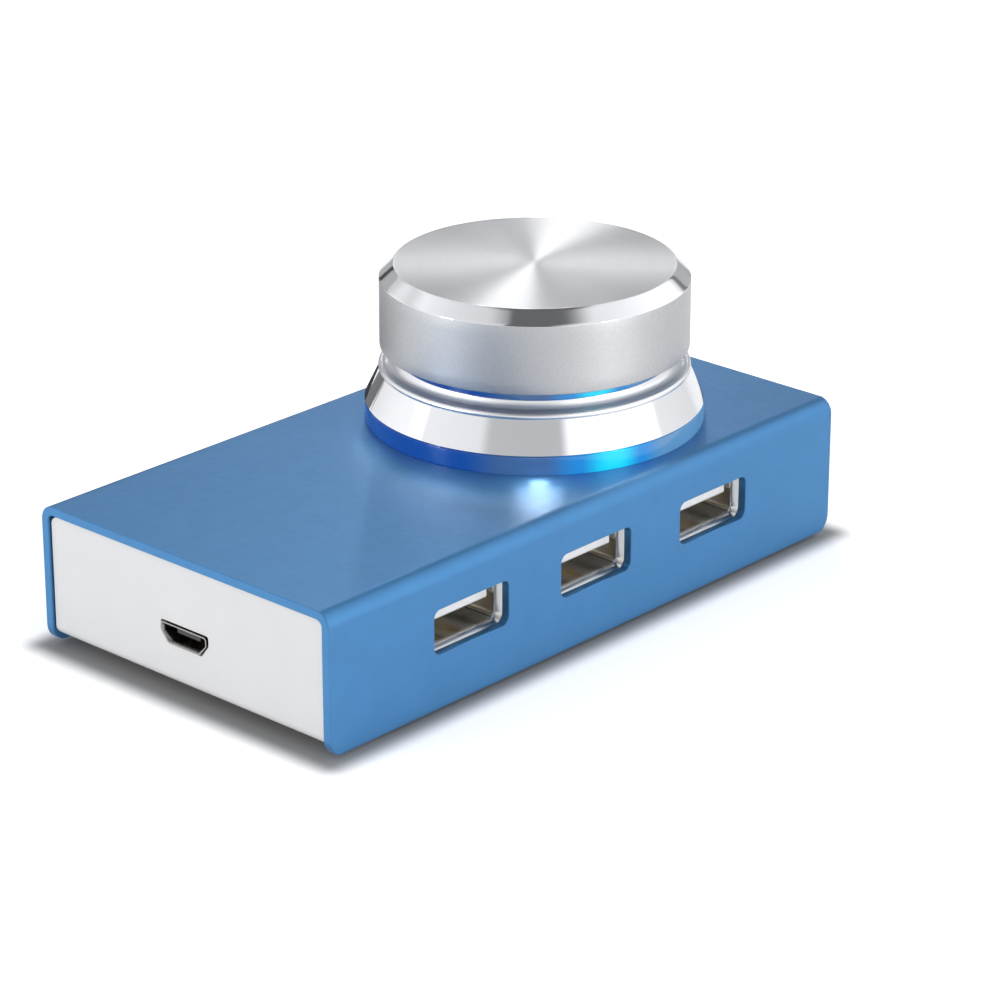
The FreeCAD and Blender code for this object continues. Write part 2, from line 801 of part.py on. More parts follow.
def encoder_board():
    half = encoder_board_length / 2
    board = block(knob_x - half, knob_x + half, encoder_board_front, encoder_board_rear,
                  encoder_board_bottom, encoder_bottom)
    low, high = encoder_board_bottom - overrun, encoder_bottom + overrun
    holes = pins(header_places() + lamp_pin_places() + encoder_pin_places(), low, high)
    holes += [clip_leg(side, hole_clearance, low, high) for side in (-1, 1)]
    return without(board, holes)


def header_strip():
    """Plastic spacer of the pin header between the two boards."""
    half = header_pin_count * pin_spacing / 2
    strip = block(knob_x - half, knob_x + half, header_y - header_width / 2, header_y + header_width / 2,
                  board_top, encoder_board_bottom)
    return without(strip, pins(header_places(), board_top - overrun, encoder_board_bottom + overrun))


def header_pins():
    return pins(header_places(), board_bottom - pin_tail / 2, encoder_bottom + pin_tail)


def encoder_pins():
    return pins(encoder_pin_places(), encoder_board_bottom - pin_tail, encoder_bottom)


def encoder_body():
    """Moulded block with a stepped bore: the switch well below, the rotor's cavity above."""
    half = encoder_side / 2
    body = block(knob_x - half, knob_x + half, knob_y - half, knob_y + half, encoder_bottom, plate_bottom)
    cavity = rotor_radius + rotor_gap
    well = rod(stub_radius + 3 * slide_gap, dome_bottom, plate_bottom)
    moat = tube(rotor_seat_radius, cavity, rotor_floor, rotor_seat)
    room = rod(cavity, rotor_seat, plate_bottom + overrun)
    pocket_half = detent_leaf_length / 2 + slide_gap
    pocket = block(knob_x - pocket_half, knob_x + pocket_half, knob_y, knob_y + cavity + detent_pocket,
                   rotor_seat, plate_bottom + overrun)
    return without(body, [merged([well, moat, room, pocket])])


def clip_leg(side, room, low, high):
    """Block of a leg of the encoder's clip, grown by the room round it."""
    inner = encoder_side / 2
    x0, x1 = sorted((knob_x + side * (inner - room), knob_x + side * (inner + clip_sheet + room)))
    half = clip_leg_width / 2 + room
    return block(x0, x1, knob_y - half, knob_y + half, low, high)


def encoder_clip():
    """Steel clip over the encoder, with a leg down each side through the board."""
    half = encoder_side / 2
    plate = block(knob_x - half - clip_sheet, knob_x + half + clip_sheet, knob_y - half, knob_y + half,
                  clip_bottom, ceiling)
    legs = [clip_leg(side, 0, encoder_board_bottom - clip_leg_reach, ceiling) for side in (-1, 1)]
    opening = rod(bushing_boss_radius + running_fit, clip_bottom - overrun, ceiling + overrun)
    return merged([plate] + legs).cut(opening)


def encoder_bushing():
    """Die-cast mounting plate with a boss and the threaded barrel that the shaft runs in."""
    half = encoder_side / 2
    plate = block(knob_x - half, knob_x + half, knob_y - half, knob_y + half, plate_bottom, clip_bottom)
    boss = rod(bushing_boss_radius, clip_bottom, ceiling)
    barrel = rod(bushing_radius, clip_bottom, bushing_top)
    tip = [e for e in barrel.Edges if e.BoundBox.ZMin > bushing_top - running_fit]
    barrel = barrel.makeChamfer(nut_chamfer, tip)
    bore = rod(shaft_radius + running_fit, plate_bottom - overrun, bushing_top + overrun)
    return merged([plate, boss, barrel]).cut(bore)


def encoder_washer():
    return tube(bushing_radius + hole_clearance, washer_radius, cover_top, cover_top + washer_thickness)


def encoder_nut():
    low = cover_top + washer_thickness
    high = low + nut_thickness
    reach = nut_across_flats / math.sqrt(3)
    corners = [(x, y, 0) for x, y, _ in circle_places(6, reach, 0)]
    hexagon = prism(corners, level(low), point(0, 0, nut_thickness))
    crown = turned_outline([(0, low, 0), (reach, low, 0), (reach, high - nut_chamfer, 0),
                            (reach - 2 * nut_chamfer, high, 0), (0, high, 0)])
    bore = rod(bushing_radius + running_fit, low - overrun, high + overrun)
    return hexagon.common(crown).cut(bore)


def flatted(radius, flat, z0, z1):
    """Round bar with a flat towards +X."""
    return rod(radius, z0, z1).cut(block(knob_x + flat, knob_x + radius + overrun, knob_y - radius - overrun,
                                         knob_y + radius + overrun, z0 - overrun, z1 + overrun))


def encoder_shaft():
    """Shaft with a flat for the knob, a stop collar under the bushing and a stub through the rotor."""
    flat_bottom = bushing_top + press_travel
    barrel = rod(shaft_radius, collar_top, flat_bottom)
    tip = rod(shaft_radius, flat_bottom, shaft_top)
    rim = [e for e in tip.Edges if e.BoundBox.ZMin > shaft_top - running_fit]
    tip = tip.makeChamfer(shaft_tip_chamfer, rim)
    tip = tip.common(flatted(shaft_radius, shaft_flat, flat_bottom, shaft_top))
    stop = rod(shaft_collar_radius, collar_bottom, collar_top)
    stub = flatted(stub_radius, stub_flat, stub_bottom, collar_bottom)
    return merged([tip, barrel, stop, stub])


def encoder_rotor():
    """Detent disc that turns with the stub, which slides through its flatted bore."""
    disc = rod(rotor_radius, rotor_bottom, rotor_top)
    notches = [rod(detent_radius, rotor_bottom - overrun, rotor_top + overrun, x, y)
               for x, y, _ in circle_places(detent_count, rotor_radius, 90)]
    bore = flatted(stub_radius + running_fit, stub_flat + running_fit,
                   rotor_bottom - overrun, rotor_top + overrun)
    return without(disc, notches + [bore])


def detent_spring():
    """Leaf in the pocket beside the rotor, with a rounded nose that stands just clear of the notches."""
    back = knob_y + rotor_radius + rotor_gap + detent_pocket - slide_gap
    nose = knob_y + rotor_radius + slide_gap
    half = detent_leaf_length / 2
    quarter = half / 2
    front = back - detent_leaf
    crook = quarter - detent_leaf
    corners = [(-half, front, 0), (-quarter, front, detent_leaf), (0, nose, detent_radius),
               (quarter, front, detent_leaf), (half, front, 0), (half, back, 0), (crook, back, detent_leaf),
               (0, nose + 2 * detent_leaf, detent_leaf), (-crook, back, detent_leaf), (-half, back, 0)]
    return prism([(knob_x + u, v, radius) for u, v, radius in corners], level(rotor_bottom),
                 point(0, 0, rotor_thickness))


def contact_wipers():
    """Bent leaf contacts in the moat under the rotor."""
    top = rotor_bottom - slide_gap / 2
    base = rotor_floor
    metal = wiper_thickness
    middle = (rotor_seat_radius + rotor_radius + rotor_gap) / 2
    x0, x1 = knob_x - wiper_length / 2, knob_x + wiper_length / 2
    side_view = [(x0, base, 0), (knob_x, base, 0), (x1, top - metal, 0), (x1, top, 0),
                 (x1 - metal, top, 0), (knob_x - metal, base + metal, 0), (x0, base + metal, 0)]
    leaf = prism(side_view, along(knob_y + middle - wiper_width / 2), point(0, wiper_width, 0))
    wipers = []
    for _, _, angle in circle_places(wiper_count, middle, wiper_turn):
        wiper = leaf.copy()
        wiper.rotate(point(knob_x, knob_y, 0), point(0, 0, 1), angle)
        wipers.append(wiper)
    return wipers


def switch_dome():
    """Snap dome: a thin spherical cap on the floor of the switch well."""
    rise = dome_height
    sphere_radius = (dome_radius ** 2 + rise ** 2) / (2 * rise)
    centre = dome_bottom + rise - sphere_radius
    outer = Part.makeSphere(sphere_radius, point(knob_x, knob_y, centre))
    inner = Part.makeSphere(sphere_radius - dome_sheet, point(knob_x, knob_y, centre))
    keep = rod(dome_radius + overrun, dome_bottom, dome_bottom + rise + overrun)
    return outer.cut(inner).common(keep)


def switch_plunger():
    plunger = rod(stub_radius, plunger_bottom, plunger_top)
    return plunger.makeChamfer(slide_gap, [e for e in plunger.Edges if e.BoundBox.ZLength < running_fit])


# Light ring, trim ring and lamps

def trim_screw_places():
    return circle_places(trim_screw_count, ring_radius - trim_screw_inset, 90)


def light_guide():
    """Clear L-section ring: the rim that shows below the trim, and a collar that rises inside it."""
    ring = turned_outline([
        (guide_bore_radius, cover_top, 0), (ring_radius, cover_top, 0), (ring_radius, ring_top, 0),
        (collar_radius, ring_top, 0), (collar_radius, light_top, collar_edge_radius),
        (guide_bore_radius, light_top, collar_edge_radius)])
    low, high = cover_top - overrun, ring_top + overrun
    return without(ring, [rod(trim_screw_radius + hole_clearance, low, high, x, y)
                          for x, y, _ in trim_screw_places()])


def trim_ring():
    """Polished ring: a cone, a bead at its top edge and a cove that sweeps up to the neck."""
    bore = collar_radius + running_fit
    lip = trim_top_radius - bead_size
    bead_top = cone_top + 2 * bead_size
    neck = bore + cove_top_width

    def at(radius, height):
        return point(knob_x + radius, knob_y, height)

    bead = Part.Arc(at(trim_top_radius, cone_top),
                    at(trim_top_radius + bead_bulge_share * bead_size, cone_top + bead_size),
                    at(lip, bead_top)).toShape()
    cove = Part.Arc(at(lip, bead_top), at((lip + neck) / 2 - cove_sag, (bead_top + neck_top) / 2 - cove_sag),
                    at(neck, neck_top)).toShape()
    straight = [at(neck, neck_top), at(bore, neck_top), at(bore, ring_top),
                at(ring_radius - trim_foot_chamfer, ring_top), at(ring_radius, ring_top + trim_foot_chamfer),
                at(trim_top_radius, cone_top)]
    sides = [Part.makeLine(a, b) for a, b in zip(straight, straight[1:])]
    ring = turned(Part.Wire([bead, cove] + sides))
    hole_top = ring_top + trim_screw_reach + slide_gap
    return without(ring, [rod(trim_screw_radius + running_fit, ring_top - overrun, hole_top, x, y)
                          for x, y, _ in trim_screw_places()])


def trim_screws():
    return [slotted_screw(x, y, ceiling, wall + ring_height + trim_screw_reach, trim_screw_radius,
                          trim_screw_head_radius, trim_screw_head, -1) for x, y, _ in trim_screw_places()]


def lamp_board():
    board = tube(lamp_board_bore_radius, guide_bore_radius - panel_gap, cover_top, lamp_board_top)
    return without(board, pins(lamp_pin_places(), cover_top - overrun, lamp_board_top + overrun))


def lamps():
    """Side-firing lamps that face the light guide's bore."""
    outer = guide_bore_radius - panel_gap - slide_gap
    half = lamp_length / 2
    inset = half - lamp_width / 3
    fronts = []
    for x, y, angle in circle_places(lamp_count, 0, 360 / lamp_count / 2):
        face = x + outer - lamp_width / 2
        lamp = block(x + outer - lamp_width, face, y - half, y + half,
                     lamp_board_top, lamp_board_top + lamp_height)
        lens = block(face, x + math.sqrt(outer ** 2 - inset ** 2), y - inset, y + inset,
                     lamp_board_top, lamp_board_top + lamp_height - lamp_width / 7)
        lamp = merged([lamp, lens])
        lamp.rotate(point(knob_x, knob_y, 0), point(0, 0, 1), angle)
        fronts.append(lamp)
    return fronts


def lamp_pins():
    return pins(lamp_pin_places(), encoder_board_bottom - pin_tail, lamp_board_top + pin_tail)


# Knob

def knob_cap():
    """Turned cap: matt side wall, chamfered crown, hollow inside with a hub for the insert."""
    crown = knob_summit - knob_chamfer_height
    roof = knob_summit - knob_top
    bore = insert_radius + running_fit
    cap = turned_outline([
        (0, knob_summit, 0), (knob_radius - knob_chamfer_width, knob_summit, 0), (knob_radius, crown, 0),
        (knob_radius, knob_bottom + knob_edge_chamfer, 0), (knob_radius - knob_edge_chamfer, knob_bottom, 0),
        (knob_radius - knob_wall, knob_bottom, 0), (knob_radius - knob_wall, roof, knob_wall / 2),
        (hub_radius, roof, knob_wall / 2), (hub_radius, hub_bottom, 0),
        (bore, hub_bottom, 0), (bore, roof, 0), (0, roof, 0)])
    return without(cap, insert_ribs(running_fit))


def insert_ribs(room):
    """Blocks of the insert's ribs, grown by the room round them."""
    ribs = []
    for i in range(insert_rib_count):
        rib = block(knob_x + insert_radius / 2, knob_x + insert_radius + insert_rib_height + room,
                    knob_y - insert_rib_width / 2 - room, knob_y + insert_rib_width / 2 + room,
                    hub_bottom, knob_summit - knob_top)
        rib.rotate(point(knob_x, knob_y, 0), point(0, 0, 1), 360 * (i + 1 / 2) / insert_rib_count)
        ribs.append(rib)
    return ribs


def knob_insert():
    """Plastic sleeve in the hub, ribbed outside and flatted inside to fit the shaft."""
    roof = knob_summit - knob_top
    sleeve = merged([rod(insert_radius, hub_bottom, roof)] + insert_ribs(0))
    bore = flatted(shaft_radius + running_fit, shaft_flat + running_fit,
                   hub_bottom - overrun, shaft_top + slide_gap)
    return sleeve.cut(bore)


def pieces():
    """Every piece by name. Alike pieces that share a name are separate solids."""
    made = {
        "housing_cover": housing_cover(), "chassis_tray": chassis_tray(), "base_screws": base_screws(),
        "rubber_feet": rubber_feet(), "pcb_standoffs": pcb_standoffs(), "board_screws": board_screws(),
        "main_board": main_board(), "hub_chip": hub_chip(), "control_chip": control_chip(),
        "chip_leads": chip_leads(), "crystal_can": crystal_can(), "capacitors": capacitors(),
        "chip_resistors": chip_resistors(), "port_contacts": port_contacts(), "inlet_shell": inlet_shell(),
        "inlet_tongue": inlet_tongue(), "inlet_contacts": inlet_contacts(),
        "encoder_board": encoder_board(), "header_strip": header_strip(),
        "header_pins": header_pins(), "encoder_pins": encoder_pins(), "encoder_body": encoder_body(),
        "encoder_clip": encoder_clip(), "encoder_bushing": encoder_bushing(),
        "encoder_washer": encoder_washer(), "encoder_nut": encoder_nut(),
        "encoder_shaft": encoder_shaft(), "encoder_rotor": encoder_rotor(),
        "detent_spring": detent_spring(), "contact_wipers": contact_wipers(), "switch_dome": switch_dome(),
        "switch_plunger": switch_plunger(), "light_guide": light_guide(), "trim_ring": trim_ring(),
        "trim_screws": trim_screws(), "lamp_board": lamp_board(), "lamps": lamps(), "lamp_pins": lamp_pins(),
        "knob_cap": knob_cap(), "knob_insert": knob_insert()}
    for number, x in enumerate(port_places(), 1):
        made["port_shell_%d" % number] = port_shell(x)
        made["port_tongue_%d" % number] = port_tongue(x)
    return made


def main():
    os.makedirs("parts", exist_ok=True)
    for name, shape in pieces().items():
        solids = shape if isinstance(shape, list) else shape.Solids
        solids = [solid for piece in solids for solid in piece.Solids]
        result = solids[0] if len(solids) == 1 else Part.makeCompound(solids)
        result.exportStep("parts/%s.step" % name)
        print("%-16s %3d solids %10.2f mm3 valid %s" % (name, len(solids), result.Volume, result.isValid()))


main()
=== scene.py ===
"""Dresses a low metal socket housing with a lit push-and-turn volume knob.

Every length is in metres, in the frame of the solids: X along the housing from the inlet end to the
plain end, the three sockets on the -Y side, Z up. Each piece is a surface worked out with numpy.
"""

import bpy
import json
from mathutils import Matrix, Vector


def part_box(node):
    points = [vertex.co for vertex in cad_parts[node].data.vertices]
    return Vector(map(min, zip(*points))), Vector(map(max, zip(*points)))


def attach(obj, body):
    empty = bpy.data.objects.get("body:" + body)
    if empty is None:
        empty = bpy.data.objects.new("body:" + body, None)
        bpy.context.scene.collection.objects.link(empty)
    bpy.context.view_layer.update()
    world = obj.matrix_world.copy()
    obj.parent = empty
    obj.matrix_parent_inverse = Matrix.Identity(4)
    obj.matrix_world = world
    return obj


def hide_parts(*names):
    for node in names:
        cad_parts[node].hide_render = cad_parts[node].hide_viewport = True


bl_info = {
    "name": "Lit Volume Knob",
    "version": (1, 0, 0),
    "blender": (4, 5, 0),
    "location": "View3D > Sidebar > Volume Knob",
    "description": "Makes the smooth surfaces, finishes and stage of a lit volume knob on a socket housing",
    "category": "Object",
}

import json
import math
import bmesh
import bpy
import numpy as np
from bpy.props import FloatProperty, FloatVectorProperty, IntProperty, PointerProperty
from mathutils import Matrix, Vector

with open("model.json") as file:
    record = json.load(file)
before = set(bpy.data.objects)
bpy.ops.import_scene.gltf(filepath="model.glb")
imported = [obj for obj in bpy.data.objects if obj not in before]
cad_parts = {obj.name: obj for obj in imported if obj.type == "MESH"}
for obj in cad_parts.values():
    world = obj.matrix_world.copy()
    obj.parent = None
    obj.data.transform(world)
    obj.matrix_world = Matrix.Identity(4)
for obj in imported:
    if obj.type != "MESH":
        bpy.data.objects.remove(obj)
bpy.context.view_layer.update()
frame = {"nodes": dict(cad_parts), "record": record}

MM = 0.001
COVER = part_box("housing_cover")
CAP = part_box("knob_cap")
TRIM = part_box("trim_ring")
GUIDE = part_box("light_guide")
SOCKETS = [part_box("port_shell_%d" % number) for number in (1, 2, 3)]
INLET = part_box("inlet_shell")
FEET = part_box("rubber_feet")
HALF_LENGTH = (COVER[1].x - COVER[0].x) / 2
AXIS = ((CAP[0].x + CAP[1].x) / 2, (CAP[0].y + CAP[1].y) / 2)


# Settings

def size(name, text, millimetres, **limits):
    return FloatProperty(name=name, description=text, default=millimetres * MM, precision=5,
                         unit="LENGTH", **(limits or {"min": 0}))


def colour(name, text, value):
    return FloatVectorProperty(name=name, description=text, default=value, size=3, min=0, max=1,
                               subtype="COLOR")


def share(name, text, value):
    return FloatProperty(name=name, description=text, default=value, min=0, max=1, subtype="FACTOR")


def angle(name, text, degrees):
    return FloatProperty(name=name, description=text, default=math.radians(degrees), subtype="ANGLE")


class CoverSizes(bpy.types.PropertyGroup):
    """Sizes of the blue cover."""
    wall: size("Wall", "Thickness of the cover's metal", 1.2)
    edge: size("Edge radius", "Rounding of the two long edges", 2.0)
    skirt_edge: size("Skirt edge", "Rounding of the skirts' lower edges", 0.4)
    skirt_corner: size("Skirt corner", "Rounding of the skirts' end corners", 2.4)
    burr: size("Edge break", "Narrow chamfer on the cut edges", 0.1)
    window_corner: size("Window corner", "Rounding of the socket windows' corners", 1.05)
    window_width: size("Window width", "Width of a socket window", 13.2)
    window_height: size("Window height", "Height of a socket window", 5.8)
    window_middle: size("Window middle", "Height of the windows' middle above the table", 10.75)
    bushing_hole: size("Bushing hole", "Radius of the hole for the threaded bushing", 3.7)


class KnobSizes(bpy.types.PropertyGroup):
    """Sizes of the knob's cap."""
    chamfer_width: size("Chamfer width", "How far the polished chamfer draws in", 1.85)
    chamfer_height: size("Chamfer height", "Height of the polished chamfer", 1.75)
    wall: size("Wall", "Thickness of the cap's side", 2.0)
    top: size("Top", "Thickness of the cap's top", 2.4)
    hub_radius: size("Hub radius", "Outer radius of the hub inside", 7.5)
    hub_bore: size("Hub bore", "Radius inside the hub, past the insert's ribs", 5.75)
    hub_drop: size("Hub drop", "How far the hub hangs below the side", 3.4)
    edge: size("Edge break", "Rounding of the crisp edges", 0.07)


class TrimSizes(bpy.types.PropertyGroup):
    """Sizes of the polished trim ring and of the lit ring below it."""
    cone_inset: size("Cone inset", "How much the cone draws in", 2.0)
    cone_height: size("Cone height", "Height of the cone", 4.35)
    bead: size("Bead", "Height and depth of the bead's two halves", 0.4)
    bead_bulge: size("Bead bulge", "How far the bead stands past the cone's edge", 0.18)
    cove_top: size("Cove top", "Width of the land at the neck", 0.25)
    cove_sag: size("Cove sag", "Depth of the cove below the straight line", 0.4)
    bore: size("Bore", "Radius of the hole round the light collar", 17.75)
    collar: size("Collar", "Outer radius of the lit collar", 17.7)
    guide_bore: size("Guide bore", "Radius inside the lit ring", 16.1)


class SocketSizes(bpy.types.PropertyGroup):
    """Sizes of the three large sockets and the small inlet."""
    width: size("Opening width", "Width of a large socket's opening", 12.5)
    height: size("Opening height", "Height of a large socket's opening", 5.1)
    sheet: size("Sheet", "Thickness of a socket's folded metal", 0.3)
    corner: size("Corner", "Rounding inside a socket's corners", 0.7)
    flare: size("Flare", "How far the lips flare out", 0.6)
    flare_depth: size("Flare depth", "How far back the lips start to flare", 1.2)
    inlet_top: size("Inlet top", "Outer width of the inlet's wide side", 7.6)
    inlet_bottom: size("Inlet bottom", "Outer width of the inlet's narrow side", 5.1)
    inlet_height: size("Inlet height", "Outer height of the inlet behind its lip", 2.25)
    inlet_sheet: size("Inlet sheet", "Thickness of the inlet's metal", 0.2)
    inlet_corner: size("Inlet corner", "Rounding of the inlet's corners", 0.35)
    inlet_flare: size("Inlet flare", "How far the inlet's lip flares out", 0.2)
    inlet_flare_depth: size("Inlet flare depth", "How far back the inlet's lip starts", 0.6)
    inlet_knee: share("Inlet knee", "Share of the inlet's height with upright sides", 0.45)


class FinishColours(bpy.types.PropertyGroup):
    """Colours and gloss that can be changed."""
    cover: colour("Cover", "Dye of the anodised cover", (0.073, 0.243, 0.495))
    plate: colour("Plate", "Paint of the tray and end plates", (0.72, 0.72, 0.725))
    metal: colour("Bright metal", "Colour of the knob and the trim ring", (0.86, 0.865, 0.885))
    # The lit ring's colours below are painted round its axis: a painted glow from lamps inside and, where
    # pale, a painted reflection of the room
    ring_dark: colour("Ring, dark", "Lit ring where it is darkest", (0.001, 0.06, 0.34))
    ring_middle: colour("Ring, middle", "Lit ring where it is paler", (0.045, 0.12, 0.30))
    ring_azure: colour("Ring, azure", "Lit ring beside a lamp", (0.015, 0.25, 0.68))
    ring_bright: colour("Ring, bright", "Lit ring in front of a lamp", (0.0, 0.72, 1.0))
    ring_pale: colour("Ring, pale", "Lit ring where the room shows in it", (0.10, 0.27, 0.50))
    cover_roughness: share("Cover roughness", "Satin of the anodised cover", 0.42)
    spun_roughness: share("Spun roughness", "Gloss of the knob's spun top", 0.31)
    blasted_roughness: share("Blasted roughness", "Satin of the knob's side", 0.45)
    # Painted shade: the knob's top is the bright metal's colour times this
    spun_painted_shade: share("Spun shade", "How dark the knob's top is beside bright metal", 0.6)
    # Painted shade: the knob's side is the bright metal's colour times this
    blasted_painted_shade: share("Blasted shade", "How dark the knob's side is beside bright metal", 0.62)


class StageSettings(bpy.types.PropertyGroup):
    """Camera, lamps and floor."""
    azimuth: angle("Azimuth", "Camera's turn round the object", -47.56)
    elevation: angle("Elevation", "Camera's height above the horizon", 22.40)
    distance: size("Distance", "From the origin to the camera, along the view", 490.4)
    right: size("Right", "Camera's shift to the right", 6.381, min=-1, max=1)
    up: size("Up", "Camera's shift up", 11.28, min=-1, max=1)
    lens: FloatProperty(name="Lens", description="Focal length in millimetres", default=136.0, min=1)
    sky: FloatProperty(name="Sky", description="Brightness of the room", default=1.0, min=0)
    lift: share("Floor lift", "How much whiter the floor looks than it is lit", 0.45)
    floor: colour("Floor", "Colour of the floor", (0.93, 0.93, 0.93))
    # Painted contact shadow: within this distance of the housing the floor's lift fades out and its colour
    # darkens
    shadow: size("Shadow", "Distance over which the floor's lift fades in", 4.2)
    turns: IntProperty(name="Turns", description="Facets round a turned piece", default=256, min=24)


GROUPS = {"cover": CoverSizes, "knob": KnobSizes, "trim": TrimSizes, "socket": SocketSizes,
          "finish": FinishColours, "stage": StageSettings}


class VolumeKnobSettings(bpy.types.PropertyGroup):
    """All settings, one member for each group above."""
    __annotations__ = {name: PointerProperty(name=name.title(), description=group.__doc__, type=group)
                       for name, group in GROUPS.items()}


# Surfaces

class Skin:
    """Gathers sheets of points and joins them into one closed mesh."""

    def __init__(self):
        self.points, self.quads, self.slots, self.count = [], [], [], 0

    def sheet(self, points, slot=0, keep=None):
        """Adds quads over points (rows, columns, xyz). keep, if given, says which quads are wanted."""
        rows, columns = points.shape[:2]
        index = self.count + np.arange(rows * columns).reshape(rows, columns)
        quads = np.stack([index[:-1, :-1], index[:-1, 1:], index[1:, 1:], index[1:, :-1]], -1)
        quads = quads[keep] if keep is not None else quads.reshape(-1, 4)
        self.points.append(points.reshape(-1, 3))
        self.quads.append(quads)
        self.slots.append(np.full(len(quads), slot))
        self.count += rows * columns

    def between(self, *loops, slot=0):
        """Adds a sheet through closed loops that have the same number of points."""
        points = np.stack(loops)
        self.sheet(np.concatenate([points, points[:, :1]], 1), slot)

    def lid(self, loop, slot=0):
        """Closes a loop with a fan to its middle."""
        self.between(loop, np.broadcast_to(loop.mean(0), loop.shape), slot=slot)

    def build(self, name, materials, sharp=30.0, closed=True):
        """Joins the sheets where they meet, points a closed skin's faces outwards and links the object."""
        points = np.concatenate(self.points)
        quads = np.concatenate(self.quads)
        mesh = bpy.data.meshes.new(name)
        mesh.from_pydata(points, [], quads)
        mesh.polygons.foreach_set("material_index", np.concatenate(self.slots).astype(np.int32))
        work = bmesh.new()
        work.from_mesh(mesh)
        bmesh.ops.remove_doubles(work, verts=work.verts, dist=2e-7)
        if closed:
            bmesh.ops.recalc_face_normals(work, faces=work.faces)
        work.to_mesh(mesh)
        work.free()
        mesh.shade_smooth()
        mesh.set_sharp_from_angle(angle=math.radians(sharp))
        for material in materials:
            mesh.materials.append(material)
        piece = bpy.data.objects.new(name, mesh)
        bpy.context.scene.collection.objects.link(piece)
        return piece


def unit(vectors):
    """The vectors, each made one long."""
    return vectors / np.linalg.norm(vectors, axis=-1, keepdims=True)


def rounded(corners, steps=6):
    """Closed outline through corners (u, v, radius).

    A corner with a radius becomes an arc that touches both sides: its centre lies on the bisector,
    at radius / sin(half angle) from the corner, and the arc's points turn evenly from side to side.
    """
    corners = np.array(corners, float)
    place, radius = corners[:, :2], corners[:, 2]
    back = unit(np.roll(place, 1, 0) - place)
    ahead = unit(np.roll(place, -1, 0) - place)
    half = np.arccos(np.clip((back * ahead).sum(1), -1, 1)) / 2
    turn = np.linspace(0, 1, steps + 1)
    pieces = []
    for p, r, a, b, h in zip(place, radius, back, ahead, half):
        if r == 0:
            pieces.append(p[None])
            continue
        centre = p + unit(a + b) * r / math.sin(h)
        first, last = p + a * r / math.tan(h) - centre, p + b * r / math.tan(h) - centre
        sweep = math.pi - 2 * h
        pieces.append(centre + (np.sin((1 - turn) * sweep)[:, None] * first
                                + np.sin(turn * sweep)[:, None] * last) / math.sin(sweep))
    return np.concatenate(pieces)


def arc(a, b, c, steps=10):
    """Points from a through b to c on the circle that passes all three."""
    a, b, c = (np.array(p, float) for p in (a, b, c))
    u, v = b - a, c - a
    cross = 2 * (u[0] * v[1] - u[1] * v[0])
    centre = a + np.array([v[1] * (u @ u) - u[1] * (v @ v), u[0] * (v @ v) - v[0] * (u @ u)]) / cross
    start, middle, end = (math.atan2(*(p - centre)[::-1]) for p in (a, b, c))
    direction = 1 if cross > 0 else -1
    sweep = (direction * (end - start)) % (2 * math.pi)
    angle = start + direction * np.linspace(0, sweep, steps + 1)
    return centre + np.linalg.norm(a - centre) * np.stack([np.cos(angle), np.sin(angle)], 1)


def turned(outline, turns, middle=AXIS):
    """Ring or disc: a point (radius, height) of the outline goes round the upright axis, to
    (x + radius cos t, y + radius sin t, height)."""
    angle = np.linspace(0, 2 * math.pi, turns + 1)
    radius, height = outline[:, :1], outline[:, 1:]
    return np.stack([middle[0] + radius * np.cos(angle), middle[1] + radius * np.sin(angle),
                     height + 0 * angle], -1)


def with_rows(outline, spacing):
    """Outline with points added so that no side is longer than the spacing."""
    pieces = []
    for a, b in zip(outline[:-1], outline[1:]):
        count = max(1, math.ceil(np.linalg.norm(b - a) / spacing))
        pieces.append(a + np.linspace(0, 1, count, endpoint=False)[:, None] * (b - a))
    return np.concatenate(pieces + [outline[-1:]])


def rim_fractions(corner, steps=6):
    """Fractions along one side of a window: close together in its corners, wider between."""
    inner = np.linspace(corner, 1 - corner, steps + 1)
    return np.concatenate([np.linspace(0, corner, steps + 1)[:-1], inner,
                           np.linspace(1 - corner, 1, steps + 1)[1:]])


def rim(us, vs):
    """Closed loop (u, v) round the rectangle whose sides are divided at us and vs."""
    sides = (us, vs[0]), (us[-1], vs), (us[::-1], vs[-1]), (us[0], vs[::-1])
    return np.concatenate([np.stack(np.broadcast_arrays(*side), 1)[:-1] for side in sides])


def soften(loop, radius):
    """Rounds a rectangle's corners: each point is drawn to the given distance from the rectangle that
    is smaller by the radius on all sides."""
    low, high = loop.min(0) + radius, loop.max(0) - radius
    core = np.clip(loop, low, high)
    away = loop - core
    return core + radius * unit(away)


def stretched(us, low, high):
    """Fractions 0 to 1 laid out between low and high."""
    return low + us * (high - low)


def refitted(us, middle, width):
    """Row of places drawn to another middle and width, with its spacing in proportion."""
    return middle + width * ((us - us[0]) / (us[-1] - us[0]) - 0.5)


def upright(loop, axis, depth):
    """Flat loop (u, v) set up in space at a depth along the axis (0, 1 or 2)."""
    return np.insert(loop, axis, depth, 1)


def lip_steps(flare, mouth, depth, count):
    """Growth and depth of a flared lip's loops, from the mouth back: the growth falls as 1 - sin."""
    return [(flare * (1 - math.sin(t * math.pi / 2)), mouth + depth * t) for t in np.linspace(0, 1, count)]


# Finishes

